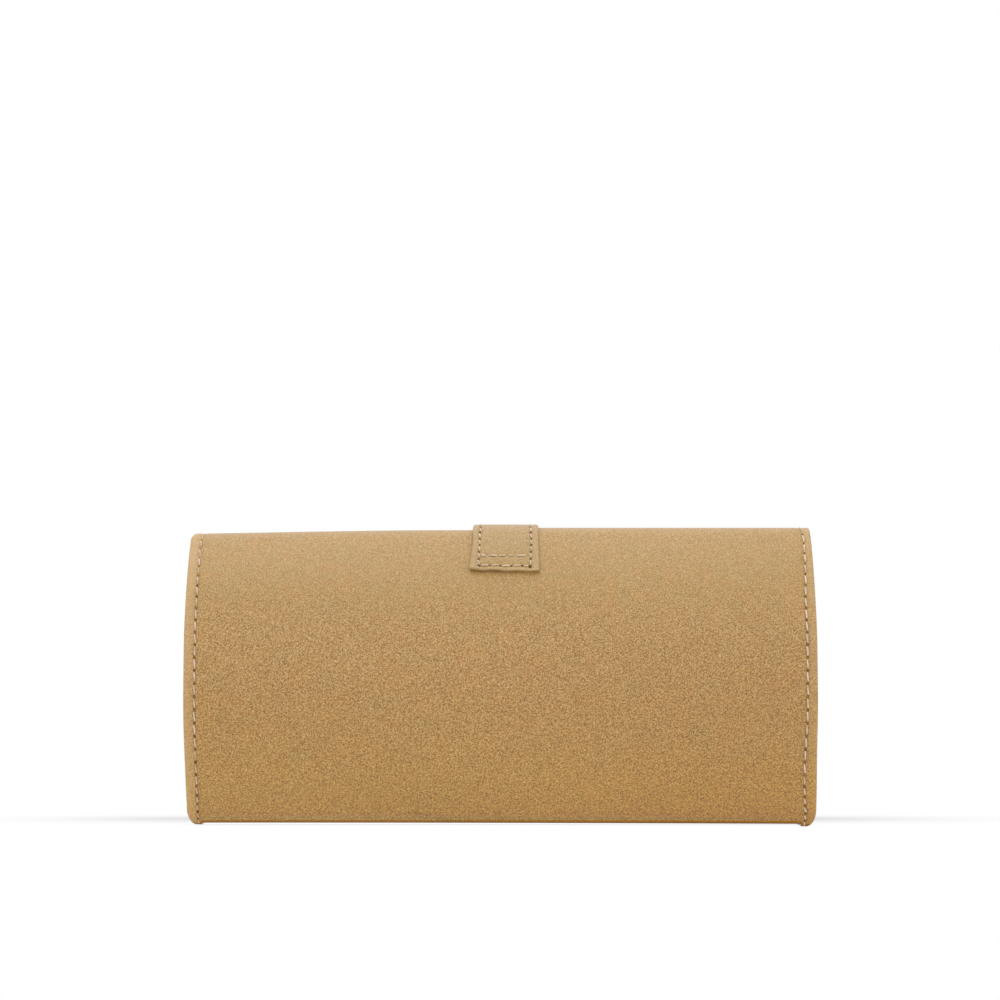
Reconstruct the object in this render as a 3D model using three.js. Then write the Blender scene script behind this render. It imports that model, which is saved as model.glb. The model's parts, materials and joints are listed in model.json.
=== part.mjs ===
// A long leather wallet: a barrel-shaped body with bellows gussets, a flap over its front, and a
// closure strap that is sewn to the back, crosses the top fold and snaps to the front panel.
// Millimetres, +Z up. X runs along the wallet, the plain back faces +Y and the flap faces -Y.
// Sections are drawn in (Y, Z) with the top fold at Y = 0; the finished group is centred at the end.
import * as THREE from "three";

// Driving dimensions of the body.
const WIDTH = 205;
const RIDGE_HEIGHT = 98;
const RIDGE_RADIUS = 8;
const RIDGE_TURN = THREE.MathUtils.degToRad(48);
const BULGE_HEIGHT = 43.5;
const BACK_BULGE = 28;
const FRONT_BULGE = 18;
const BACK_FOOT = 19.9;
const FRONT_FOOT = 13.3;
const FOOT_HEIGHT = 3.2;
const FOLD_RUN = 3.6;
// How far each curve's end handles reach, which sets how full the barrel is.
const BACK_REACH = 17.5;
const FRONT_REACH = 14;
const SHOULDER_FULLNESS = 0.95;
const WAIST_REACH = 13;
const SKIRT = { height: 14, share: 0.36 };
const FOLD_TUCK = 0.6;

// Sheet thicknesses and the clearance between neighbouring pieces.
const LEATHER = 1.8;
const FLAP_LEATHER = 1.6;
const BOARD = 0.8;
const LINING = 0.6;
const GAP = 0.3;

// The flap lies this far outside the front panel's face, measured at the flap's outer face. Its
// board and lining stop short of its leather's edge.
const FLAP_STAND_OFF = 4;
const FLAP_EDGE_HEIGHT = 36;
const FLAP_CORNER = 14;
const FLAP_SIDE_INSET = 0.5;
const FLAP_BOARD_START = 5;
const FLAP_BOARD_INSET = 4;
const FLAP_LINING_INSET = 1;

// Closure strap, which sits a little to one side of the middle.
const STRAP_LEFT = -12.5;
const STRAP_RIGHT = 8;
const STRAP_THICKNESS = 1.5;
const STRAP_FLARE = 2.2;
const TAB_LENGTH = 22.6;
const TAB_SKEW = 0.2;
const BRIDGE_LENGTH = 12;
const STRAP_TIP_HEIGHT = 12;
const SNAP_HEIGHT = 24;
const STRAP_BACKING = 0.7;

// Snap fastener: a stud on the front panel stands in a socket ring under the strap, and a cap
// covers its rivet on the strap's face.
const STUD = { baseRadius: 5, baseHeight: 0.5, knobRadius: 2.6, height: 2.2 };
const SOCKET = { inner: 4, outer: 6, height: 1.4 };
const CAP = { radius: 6.2, height: 1.8, rim: 0.5 };
const SNAP_POST = { radius: 4.5, height: 0.8 };
const SNAP_STACK = GAP + STUD.baseHeight + GAP + SOCKET.height + GAP;

// Body mouth, gussets and pockets.
const MOUTH_HEIGHT = 80;
const GUSSET_LEATHER = 1.2;
const GUSSET_FOLD_X = 88;
const GUSSET_SEAM_X = 97.5;
const GUSSET_FOLD_TOP = 68;
const DIVIDER_Y = 2;
const BOARD_TOP_CLEARANCE = 4;
const POCKET_CLEARANCE = 2;
const BASE_END_INSET = 1;
const GUSSET_MOUTH_DROP = 2;
const FLOOR_CLEARANCE = 5;
const LINING_HALF = 94.5;
const CARD_POCKET_SPAN = [3.5, 91];
const CARD_POCKET_TOPS = [70, 61, 52, 43];
const SLIP_POCKET_TOP = 58;

// Coin divider and its zip.
const DIVIDER_HALF = 86;
const DIVIDER_TOP = 64;
const DIVIDER_HALF_GAP = { bottom: 0.3, top: 1.8 };
const DIVIDER_LEATHER = 0.9;
const TAPE = 0.4;
const TAPE_HEIGHT = { bottom: 54, top: 66.6 };
const ZIP_HALF = 72;
const TOOTH_ROW = { width: 1, height: 1.6, halfGap: 0.25 };
const TAPE_OVERHANG = 6;
const STOP = { length: 2, halfWidth: 1.4, bottom: 66.9, top: 68.8 };
const SLIDER = { length: 9, halfWidth: 3.6, wall: 1, bottom: 64.8, top: 70.1, x: 66, plate: 1.2 };
const CROWN = { rise: 1.7, inner: 1.25, outer: 2.2, thickness: 1.6 };
const PULL = {
  length: 17,
  width: 5,
  thickness: 1,
  barEnd: 1,
  taper: 0.4,
  window: [0.6, 3.4],
  windowHalf: 1.3,
};

// One side of the barrel section as a run of distances along a curve from the ridge to the foot
// and under the base. side is +1 for the back and -1 for the front.
class Profile {
  constructor(side, ridgeRadius, bulge, foot, reach) {
    const turnEnd = new THREE.Vector2(
      ridgeRadius * Math.sin(RIDGE_TURN),
      RIDGE_HEIGHT - RIDGE_RADIUS + ridgeRadius * Math.cos(RIDGE_TURN),
    );
    const slope = new THREE.Vector2(Math.cos(RIDGE_TURN), -Math.sin(RIDGE_TURN));
    const widest = new THREE.Vector2(bulge, BULGE_HEIGHT);
    const footPoint = new THREE.Vector2(foot, FOOT_HEIGHT);
    this.side = side;
    this.path = new THREE.CurvePath();
    this.path.add(
      new THREE.EllipseCurve(
        0,
        RIDGE_HEIGHT - RIDGE_RADIUS,
        ridgeRadius,
        ridgeRadius,
        Math.PI / 2,
        Math.PI / 2 - RIDGE_TURN,
        true,
      ),
    );
    this.path.add(
      new THREE.CubicBezierCurve(
        turnEnd,
        turnEnd.clone().addScaledVector(slope, reach),
        new THREE.Vector2(bulge, BULGE_HEIGHT + SHOULDER_FULLNESS * reach),
        widest,
      ),
    );
    this.path.add(
      new THREE.CubicBezierCurve(
        widest,
        new THREE.Vector2(bulge, BULGE_HEIGHT - WAIST_REACH),
        new THREE.Vector2(foot + (bulge - foot) * SKIRT.share, SKIRT.height),
        footPoint,
      ),
    );
    this.path.add(
      new THREE.QuadraticBezierCurve(
        footPoint,
        new THREE.Vector2(foot - FOLD_TUCK, 0),
        new THREE.Vector2(foot - FOLD_RUN, 0),
      ),
    );
    this.length = this.path.getLength();
  }

  // The point at this distance from the ridge, moved inwards by depth.
  at(distance, depth = 0) {
    const t = THREE.MathUtils.clamp(distance / this.length, 0, 1);
    const step = 1e-3;
    const before = this.path.getPoint(Math.max(0, t - step));
    const after = this.path.getPoint(Math.min(1, t + step));
    const tangent = after.sub(before).normalize();
    const point = this.path.getPoint(t);
    const inward = new THREE.Vector2(tangent.y, -tangent.x);
    point.addScaledVector(inward, depth);
    return new THREE.Vector2(this.side * point.x, point.y);
  }

  // How far from the ridge the surface passes this height, above the foot.
  distanceAt(height) {
    let low = 0;
    let high = this.length - FOLD_RUN;
    for (let i = 0; i < 40; i++) {
      const middle = (low + high) / 2;
      if (this.at(middle).y > height) low = middle;
      else high = middle;
    }
    return low;
  }
}

const back = new Profile(1, RIDGE_RADIUS, BACK_BULGE, BACK_FOOT, BACK_REACH);
const front = new Profile(
  -1,
  RIDGE_RADIUS - FLAP_STAND_OFF,
  FRONT_BULGE,
  FRONT_FOOT,
  FRONT_REACH,
);

// Distances from start to end, no further apart than step.
function spaced(start, end, step = 4.5) {
  const count = Math.max(1, Math.ceil(Math.abs(end - start) / step));
  return Array.from({ length: count + 1 }, (_, i) => start + ((end - start) * i) / count);
}

// The same, with the last stretch spaced for a rounded end of this radius.
function spacedRoundEnd(start, end, radius, steps = 5) {
  const round = Array.from(
    { length: steps },
    (_, i) => end - radius + radius * Math.sin(((i + 1) * Math.PI) / (2 * steps)),
  );
  return [...spaced(start, end - radius), ...round];
}

// How much a corner of this radius takes off the half width, this far from the rounded end.
function cornerInset(fromEnd, radius) {
  if (fromEnd >= radius) return 0;
  return radius - Math.sqrt(Math.max(0, radius ** 2 - (radius - fromEnd) ** 2));
}

// Turns the triangles round if they face inwards.
function facingOut(geometry) {
  const p = geometry.getAttribute("position");
  const index = geometry.getIndex().array;
  const corner = (i) => new THREE.Vector3().fromBufferAttribute(p, index[i]);
  let volume = 0;
  for (let i = 0; i < index.length; i += 3)
    volume += corner(i).dot(corner(i + 1).cross(corner(i + 2)));
  if (volume < 0) index.reverse();
  return geometry;
}

// A closed solid through rings of points, each end closed by a fan from its ring's first point.
function loft(rings) {
  const count = rings[0].length;
  const index = [];
  for (let i = 0; i + 1 < rings.length; i++)
    for (let j = 0; j < count; j++) {
      const a = i * count + j;
      const b = i * count + ((j + 1) % count);
      index.push(a, b, b + count, a, b + count, a + count);
    }
  const last = (rings.length - 1) * count;
  for (let j = 1; j + 1 < count; j++) {
    index.push(0, j + 1, j);
    index.push(last, last + j, last + j + 1);
  }
  const geometry = new THREE.BufferGeometry();
  geometry.setFromPoints(rings.flat());
  geometry.setIndex(index);
  return facingOut(geometry);
}

// A sheet that follows place(distance, depth) between two depths, and in X spans span(distance).
function sheet(place, distances, depths, span) {
  return loft(
    distances.map((distance) => {
      const [left, right] = span(distance);
      const outer = place(distance, depths[0]);
      const inner = place(distance, depths[1]);
      return [
        new THREE.Vector3(left, outer.x, outer.y),
        new THREE.Vector3(right, outer.x, outer.y),
        new THREE.Vector3(right, inner.x, inner.y),
        new THREE.Vector3(left, inner.x, inner.y),
      ];
    }),
  );
}

const along = (profile) => (distance, depth) => profile.at(distance, depth);
const evenSpan = (half) => () => [-half, half];

// A box between two corners.
function block(low, high) {
  const size = high.map((value, i) => value - low[i]);
  const geometry = new THREE.BoxGeometry(...size);
  return geometry.translate(...low.map((value, i) => value + size[i] / 2));
}

// A flat outline in (Y, Z) or (X, Y), given thickness along the third axis and centred there.
const YZ_TO_WORLD = new THREE.Matrix4().makeBasis(
  new THREE.Vector3(0, 1, 0),
  new THREE.Vector3(0, 0, 1),
  new THREE.Vector3(1, 0, 0),
);
const XZ_TO_WORLD = new THREE.Matrix4().makeBasis(
  new THREE.Vector3(1, 0, 0),
  new THREE.Vector3(0, 0, 1),
  new THREE.Vector3(0, -1, 0),
);
function plate(shape, thickness, toWorld = new THREE.Matrix4()) {
  const geometry = new THREE.ExtrudeGeometry(shape, {
    depth: thickness,
    bevelEnabled: false,
    curveSegments: 8,
  });
  return geometry.translate(0, 0, -thickness / 2).applyMatrix4(toWorld);
}

function standard(color, roughness, metalness = 0) {
  return () => new THREE.MeshStandardMaterial({ color, roughness, metalness });
}
const nubuck = standard(0xba9765, 0.85);
const liningSuede = standard(0xcbb48c, 0.9);
const fibreBoard = standard(0x6f5f4d, 0.95);
const pocketLeather = standard(0xb58f5c, 0.8);
const zipTape = standard(0xb99b70, 0.95);
const brass = standard(0xc9a25a, 0.3, 1);

const wallet = new THREE.Group();

function addNode(name, geometry, material, parent = wallet) {
  const mesh = new THREE.Mesh(geometry, material());
  mesh.name = name;
  parent.add(mesh);
}

function addBack() {
  addNode(
    "back_panel",
    sheet(along(back), spaced(GAP / 2, back.length, 4), [0, LEATHER], evenSpan(WIDTH / 2)),
    nubuck,
  );
  const top = back.distanceAt(RIDGE_HEIGHT - BOARD_TOP_CLEARANCE);
  const foot = back.distanceAt(FLOOR_CLEARANCE);
  const boardOuter = LEATHER + GAP;
  const liningOuter = boardOuter + BOARD + GAP;
  addNode(
    "back_board",
    sheet(along(back), spaced(top, foot), [boardOuter, boardOuter + BOARD], evenSpan(LINING_HALF)),
    fibreBoard,
  );
  addNode(
    "back_lining",
    sheet(
      along(back),
      spaced(GAP / 2, foot),
      [liningOuter, liningOuter + LINING],
      evenSpan(LINING_HALF),
    ),
    liningSuede,
  );
  return liningOuter + LINING;
}

// Two columns of stepped card pockets on the back lining; the lowest mouth is the innermost layer.
function addCardPockets(liningInner) {
  const foot = back.distanceAt(FLOOR_CLEARANCE + POCKET_CLEARANCE);
  for (const [column, sign] of [["left", -1], ["right", 1]])
    CARD_POCKET_TOPS.forEach((top, layer) => {
      const outer = liningInner + GAP + layer * (LINING + GAP);
      const ends = CARD_POCKET_SPAN.map((x) => sign * x).sort((a, b) => a - b);
      addNode(
        `card_pocket_${column}_${layer + 1}`,
        sheet(along(back), spaced(back.distanceAt(top), foot), [outer, outer + LINING], () => ends),
        pocketLeather,
      );
    });
}

function addBase() {
  const backEnd = BACK_FOOT - FOLD_RUN - GAP;
  const frontEnd = -(FRONT_FOOT - FOLD_RUN - GAP);
  const half = WIDTH / 2 - BASE_END_INSET;
  const layers = [
    ["base_panel", 0, LEATHER, half, nubuck],
    ["base_board", LEATHER + GAP, BOARD, LINING_HALF, fibreBoard],
    ["base_lining", LEATHER + BOARD + 2 * GAP, LINING, LINING_HALF, liningSuede],
  ];
  for (const [name, bottom, thickness, halfLength, material] of layers)
    addNode(
      name,
      block([-halfLength, frontEnd, bottom], [halfLength, backEnd, bottom + thickness]),
      material,
    );
}

// The body's front wall, from its mouth down to its fold under the wallet.
function addFront() {
  const mouth = front.distanceAt(MOUTH_HEIGHT);
  const foot = front.distanceAt(FLOOR_CLEARANCE);
  const boardOuter = FLAP_LEATHER + GAP;
  const liningOuter = boardOuter + BOARD + GAP;
  const liningInner = liningOuter + LINING;
  addNode(
    "front_panel",
    sheet(along(front), spaced(mouth, front.length, 4), [0, FLAP_LEATHER], evenSpan(WIDTH / 2)),
    nubuck,
  );
  addNode(
    "front_board",
    sheet(
      along(front),
      spaced(mouth + 1, foot),
      [boardOuter, boardOuter + BOARD],
      evenSpan(LINING_HALF),
    ),
    fibreBoard,
  );
  addNode(
    "front_lining",
    sheet(along(front), spaced(mouth, foot), [liningOuter, liningInner], evenSpan(LINING_HALF)),
    liningSuede,
  );
  addNode(
    "front_slip_pocket",
    sheet(
      along(front),
      spaced(
        front.distanceAt(SLIP_POCKET_TOP),
        front.distanceAt(FLOOR_CLEARANCE + POCKET_CLEARANCE),
      ),
      [liningInner + GAP, liningInner + GAP + LINING],
      evenSpan(CARD_POCKET_SPAN[1]),
    ),
    pocketLeather,
  );
  return liningInner + GAP + LINING;
}

// One leaf of a bellows gusset: a flange inside the panel's side edge, then a leaf that slants in
// to the vertical fold in the middle of the wallet's side.
function gussetLeaf(profile, end, panelThickness, mouth) {
  const outer = panelThickness + GAP;
  const inner = outer + GUSSET_LEATHER;
  const half = GUSSET_LEATHER / 2;
  const foldY = DIVIDER_Y + profile.side * (half + GAP / 2);
  const distances = spaced(profile.distanceAt(mouth), profile.distanceAt(FLOOR_CLEARANCE + 1));
  const corner = (x, point) => new THREE.Vector3(end * x, point.x, point.y);
  return loft(
    distances.map((distance, i) => {
      const share = i / (distances.length - 1);
      const foldZ = THREE.MathUtils.lerp(GUSSET_FOLD_TOP, FLOOR_CLEARANCE + 1, share);
      const fold = new THREE.Vector2(foldY, foldZ);
      const near = profile.at(distance, outer);
      const far = profile.at(distance, inner);
      return [
        corner(GUSSET_SEAM_X + half, far),
        corner(WIDTH / 2 - GAP, far),
        corner(WIDTH / 2 - GAP, near),
        corner(GUSSET_SEAM_X - half, near),
        corner(GUSSET_FOLD_X - half, fold),
        corner(GUSSET_FOLD_X + half, fold),
      ];
    }),
  );
}

function addGussets() {
  for (const [name, end] of [["left", -1], ["right", 1]]) {
    addNode(`gusset_${name}_back`, gussetLeaf(back, end, LEATHER, MOUTH_HEIGHT), nubuck);
    addNode(
      `gusset_${name}_front`,
      gussetLeaf(front, end, FLAP_LEATHER, MOUTH_HEIGHT - GUSSET_MOUTH_DROP),
      nubuck,
    );
  }
}

// Flap layers are outside the front panel, so their depths are negative.
function addFlap() {
  const end = front.distanceAt(FLAP_EDGE_HEIGHT);
  const half = WIDTH / 2 - FLAP_SIDE_INSET;
  const rounded = (inset) => (distance) => {
    const cut = cornerInset(end - inset - distance, FLAP_CORNER - inset);
    return [-half + inset + cut, half - inset - cut];
  };
  const leatherInner = FLAP_LEATHER - FLAP_STAND_OFF;
  const boardOuter = leatherInner + GAP;
  const liningOuter = boardOuter + BOARD + GAP;
  addNode(
    "flap_panel",
    sheet(
      along(front),
      spacedRoundEnd(GAP / 2, end, FLAP_CORNER),
      [-FLAP_STAND_OFF, leatherInner],
      rounded(0),
    ),
    nubuck,
  );
  addNode(
    "flap_board",
    sheet(
      along(front),
      spacedRoundEnd(FLAP_BOARD_START, end - FLAP_BOARD_INSET, FLAP_CORNER - FLAP_BOARD_INSET),
      [boardOuter, boardOuter + BOARD],
      rounded(FLAP_BOARD_INSET),
    ),
    fibreBoard,
  );
  addNode(
    "flap_lining",
    sheet(
      along(front),
      spacedRoundEnd(GAP / 2, end - FLAP_LINING_INSET, FLAP_CORNER - FLAP_LINING_INSET),
      [liningOuter, liningOuter + LINING],
      rounded(FLAP_LINING_INSET),
    ),
    liningSuede,
  );
}

// The strap's sewn end on the back, which flares a little towards its lower edge.
function addStrapTab() {
  const span = (distance) => {
    const share = distance / TAB_LENGTH;
    return [STRAP_LEFT - TAB_SKEW * STRAP_FLARE * share, STRAP_RIGHT + STRAP_FLARE * share];
  };
  addNode(
    "strap_tab",
    sheet(along(back), spaced(GAP / 2, TAB_LENGTH, 3), [-GAP - STRAP_THICKNESS, -GAP], span),
    nubuck,
  );
}

// The stretch of strap that is sewn down on top of the flap.
function addStrapBridge() {
  const outside = -FLAP_STAND_OFF - GAP;
  addNode(
    "strap_bridge",
    sheet(
      along(front),
      spaced(GAP / 2, BRIDGE_LENGTH - GAP / 2, 3),
      [outside - STRAP_THICKNESS, outside],
      () => [STRAP_LEFT, STRAP_RIGHT],
    ),
    nubuck,
  );
}

// The line of the free strap's inner face: along the flap, over its edge, and in to the snap.
function strapLine() {
  const flapEnd = front.distanceAt(FLAP_EDGE_HEIGHT);
  const onFlap = spaced(BRIDGE_LENGTH + GAP / 2, flapEnd + 1, 6).map((distance) =>
    front.at(distance, -FLAP_STAND_OFF - 1.4 * GAP),
  );
  const onFront = [SNAP_HEIGHT + CAP.radius, SNAP_HEIGHT, STRAP_TIP_HEIGHT].map((height) =>
    front.at(front.distanceAt(height), -SNAP_STACK),
  );
  return new THREE.SplineCurve([...onFlap, ...onFront]);
}

function addStrapEnd() {
  const line = strapLine();
  const length = line.getLength();
  const tipRadius = (STRAP_RIGHT - STRAP_LEFT) / 2 - 1;
  const place = (distance, depth) => {
    const u = THREE.MathUtils.clamp(distance / length, 0, 1);
    const tangent = line.getTangentAt(u);
    return line.getPointAt(u).add(new THREE.Vector2(-tangent.y, tangent.x).multiplyScalar(depth));
  };
  const span = (distance) => {
    const cut = cornerInset(length - distance, tipRadius);
    return [STRAP_LEFT + cut, STRAP_RIGHT - cut];
  };
  const distances = spacedRoundEnd(0, length, tipRadius);
  const faceInner = -STRAP_BACKING - GAP;
  addNode("strap_backing", sheet(place, distances, [-STRAP_BACKING, 0], span), liningSuede);
  addNode("strap_end", sheet(place, distances, [faceInner - STRAP_THICKNESS, faceInner], span), nubuck);
}

// A round piece from (radius, height) points, closed on itself or on the axis.
function turned(points) {
  const outline = points.map(([radius, height]) => new THREE.Vector2(radius, height));
  return new THREE.LatheGeometry(outline, 28);
}

// A group at the snap, with its local +Y pointing out of the front panel.
function snapGroup(depth) {
  const distance = front.distanceAt(SNAP_HEIGHT);
  const base = front.at(distance, depth);
  const outward = front.at(distance, depth - 1).sub(base);
  const group = new THREE.Group();
  group.position.set((STRAP_LEFT + STRAP_RIGHT) / 2, base.x, base.y);
  group.quaternion.setFromUnitVectors(
    new THREE.Vector3(0, 1, 0),
    new THREE.Vector3(0, outward.x, outward.y).normalize(),
  );
  wallet.add(group);
  return group;
}

function addSnap(frontInner) {
  const strapOuter = SNAP_STACK + STRAP_BACKING + GAP + STRAP_THICKNESS;
  addNode(
    "snap_stud",
    turned([
      [0, 0],
      [STUD.baseRadius, 0],
      [STUD.baseRadius, STUD.baseHeight],
      [STUD.knobRadius - 0.5, STUD.baseHeight + 0.3],
      [STUD.knobRadius, STUD.height - 0.7],
      [STUD.knobRadius - 0.6, STUD.height],
      [0, STUD.height],
    ]),
    brass,
    snapGroup(-GAP),
  );
  addNode(
    "snap_socket",
    turned([
      [SOCKET.inner, 0],
      [SOCKET.outer, 0],
      [SOCKET.outer, SOCKET.height],
      [SOCKET.inner, SOCKET.height],
      [SOCKET.inner, 0],
    ]),
    brass,
    snapGroup(-(GAP + STUD.baseHeight + GAP)),
  );
  addNode(
    "snap_cap",
    turned([
      [0, 0],
      [CAP.radius, 0],
      [CAP.radius, CAP.rim],
      [CAP.radius * 0.86, 0.62 * CAP.height],
      [CAP.radius * 0.5, 0.92 * CAP.height],
      [0, CAP.height],
    ]),
    brass,
    snapGroup(-strapOuter - 3 * GAP),
  );
  addNode(
    "snap_post",
    turned([
      [0, 0],
      [SNAP_POST.radius, 0],
      [SNAP_POST.radius, SNAP_POST.height],
      [0, SNAP_POST.height],
    ]),
    brass,
    snapGroup(frontInner + GAP + SNAP_POST.height),
  );
}

// The coin divider: two flat panels that part slightly towards the zip along their top.
function addDivider() {
  const height = DIVIDER_TOP - FLOOR_CLEARANCE;
  const halfGapAt = (z) =>
    THREE.MathUtils.mapLinear(
      z,
      FLOOR_CLEARANCE,
      DIVIDER_TOP,
      DIVIDER_HALF_GAP.bottom,
      DIVIDER_HALF_GAP.top,
    );
  for (const [name, side] of [["front", -1], ["back", 1]]) {
    const wall = (z, depth) => new THREE.Vector2(DIVIDER_Y + side * (halfGapAt(z) + depth), z);
    addNode(
      `coin_pocket_${name}`,
      sheet(
        wall,
        [FLOOR_CLEARANCE, FLOOR_CLEARANCE + height / 2, DIVIDER_TOP],
        [0, DIVIDER_LEATHER],
        evenSpan(DIVIDER_HALF),
      ),
      pocketLeather,
    );
    const tape = (z, depth) => new THREE.Vector2(DIVIDER_Y + side * (halfGapAt(z) - depth), z);
    addNode(
      `zip_tape_${name}`,
      sheet(
        (z, depth) => tape(Math.min(z, DIVIDER_TOP), depth).setY(z),
        [TAPE_HEIGHT.bottom, DIVIDER_TOP, TAPE_HEIGHT.top],
        [GAP, GAP + TAPE],
        evenSpan(ZIP_HALF + TAPE_OVERHANG),
      ),
      zipTape,
    );
    const bottom = TAPE_HEIGHT.top + GAP;
    const rowNear = DIVIDER_Y + side * TOOTH_ROW.halfGap;
    const rowFar = rowNear + side * TOOTH_ROW.width;
    addNode(
      `zip_teeth_${name}`,
      block(
        [-ZIP_HALF, Math.min(rowNear, rowFar), bottom],
        [ZIP_HALF, Math.max(rowNear, rowFar), bottom + TOOTH_ROW.height],
      ),
      brass,
    );
  }
  for (const [name, end] of [["left", -1], ["right", 1]]) {
    const near = ZIP_HALF + GAP;
    const ends = [end * near, end * (near + STOP.length)].sort((a, b) => a - b);
    addNode(
      `zip_stop_${name}`,
      block(
        [ends[0], DIVIDER_Y - STOP.halfWidth, STOP.bottom],
        [ends[1], DIVIDER_Y + STOP.halfWidth, STOP.top],
      ),
      brass,
    );
  }
}

// The slider straddles the teeth as a channel, open below.
function addSlider() {
  const group = new THREE.Group();
  group.position.set(SLIDER.x, DIVIDER_Y, 0);
  wallet.add(group);
  const plateBottom = SLIDER.top - SLIDER.plate;
  const channel = new THREE.Shape([
    new THREE.Vector2(-SLIDER.halfWidth, SLIDER.bottom),
    new THREE.Vector2(-SLIDER.halfWidth + SLIDER.wall, SLIDER.bottom),
    new THREE.Vector2(-SLIDER.halfWidth + SLIDER.wall, plateBottom),
    new THREE.Vector2(SLIDER.halfWidth - SLIDER.wall, plateBottom),
    new THREE.Vector2(SLIDER.halfWidth - SLIDER.wall, SLIDER.bottom),
    new THREE.Vector2(SLIDER.halfWidth, SLIDER.bottom),
    new THREE.Vector2(SLIDER.halfWidth, SLIDER.top),
    new THREE.Vector2(-SLIDER.halfWidth, SLIDER.top),
  ]);
  addNode("zip_slider", plate(channel, SLIDER.length, YZ_TO_WORLD), brass, group);

  const pivot = SLIDER.top + GAP + CROWN.rise;
  const arch = new THREE.Shape();
  arch.moveTo(-CROWN.outer, SLIDER.top + GAP);
  arch.lineTo(-CROWN.inner, SLIDER.top + GAP);
  arch.lineTo(-CROWN.inner, pivot);
  arch.absarc(0, pivot, CROWN.inner, Math.PI, 0, true);
  arch.lineTo(CROWN.inner, SLIDER.top + GAP);
  arch.lineTo(CROWN.outer, SLIDER.top + GAP);
  arch.lineTo(CROWN.outer, pivot);
  arch.absarc(0, pivot, CROWN.outer, 0, Math.PI, false);
  arch.closePath();
  addNode("zip_crown", plate(arch, CROWN.thickness, XZ_TO_WORLD), brass, group);
  addPull(group, pivot);
}

// The pull lies along the zip, with its cross-bar through the crown.
function addPull(group, pivot) {
  const half = PULL.width / 2;
  const outline = new THREE.Shape();
  outline.moveTo(PULL.barEnd, -half + PULL.taper);
  outline.lineTo(PULL.barEnd, half - PULL.taper);
  outline.lineTo(-PULL.length + half, half);
  outline.absarc(-PULL.length + half, 0, half, Math.PI / 2, (3 * Math.PI) / 2, false);
  outline.closePath();
  const [near, far] = PULL.window;
  const window = new THREE.Path([
    new THREE.Vector2(-near, -PULL.windowHalf),
    new THREE.Vector2(-far, -PULL.windowHalf),
    new THREE.Vector2(-far, PULL.windowHalf),
    new THREE.Vector2(-near, PULL.windowHalf),
  ]);
  outline.holes.push(window);
  const geometry = plate(outline, PULL.thickness).translate(0, 0, pivot);
  addNode("zip_pull", geometry, brass, group);
}

addCardPockets(addBack());
addBase();
const frontInner = addFront();
addGussets();
addFlap();
addStrapTab();
addStrapBridge();
addStrapEnd();
addSnap(frontInner);
addDivider();
addSlider();

// The origin is under the middle of the whole wallet, on the surface it stands on.
wallet.updateMatrixWorld(true);
const bounds = new THREE.Box3().setFromObject(wallet);
const centre = bounds.getCenter(new THREE.Vector3());
wallet.position.set(-centre.x, -centre.y, -bounds.min.z);

export default wallet;
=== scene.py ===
"""The looks of a long nubuck wallet with a flap and a snap strap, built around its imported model.

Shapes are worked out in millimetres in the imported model's section: x runs along the wallet, y and z
are measured from under its top fold, and to_frame() turns them into the shared frame in metres.
"""
import json
import math
import random

import bpy
import numpy as np
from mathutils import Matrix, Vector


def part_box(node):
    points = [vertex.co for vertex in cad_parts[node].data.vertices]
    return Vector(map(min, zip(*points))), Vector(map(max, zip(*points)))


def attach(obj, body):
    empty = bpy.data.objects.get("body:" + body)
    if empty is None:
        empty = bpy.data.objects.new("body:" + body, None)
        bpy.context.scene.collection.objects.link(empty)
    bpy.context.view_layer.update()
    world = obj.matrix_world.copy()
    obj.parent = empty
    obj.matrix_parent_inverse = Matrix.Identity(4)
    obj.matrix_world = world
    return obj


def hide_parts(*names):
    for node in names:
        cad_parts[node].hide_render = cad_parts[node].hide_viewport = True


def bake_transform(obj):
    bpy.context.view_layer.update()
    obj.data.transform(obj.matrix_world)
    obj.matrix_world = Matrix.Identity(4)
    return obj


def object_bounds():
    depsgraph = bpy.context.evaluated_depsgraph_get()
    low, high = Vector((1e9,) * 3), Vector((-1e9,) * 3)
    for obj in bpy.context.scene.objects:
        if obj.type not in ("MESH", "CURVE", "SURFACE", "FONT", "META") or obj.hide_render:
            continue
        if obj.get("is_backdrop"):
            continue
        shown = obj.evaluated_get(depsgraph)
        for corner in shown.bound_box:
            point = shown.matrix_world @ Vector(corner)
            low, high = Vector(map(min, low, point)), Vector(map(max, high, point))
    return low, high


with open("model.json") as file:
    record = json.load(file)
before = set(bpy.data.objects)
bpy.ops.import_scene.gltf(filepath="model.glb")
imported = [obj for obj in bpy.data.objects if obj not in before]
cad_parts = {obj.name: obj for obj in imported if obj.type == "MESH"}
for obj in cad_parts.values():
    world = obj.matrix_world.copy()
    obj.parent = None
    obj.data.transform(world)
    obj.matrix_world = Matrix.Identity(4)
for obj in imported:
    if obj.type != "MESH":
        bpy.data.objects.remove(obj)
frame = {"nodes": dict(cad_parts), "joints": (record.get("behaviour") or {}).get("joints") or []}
CAD_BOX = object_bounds()

MM = 0.001
JOINT = {joint["name"]: joint for joint in frame["joints"]}
RIDGE_Y = JOINT["flap_hinge"]["pos_m"][1] / MM

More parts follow.
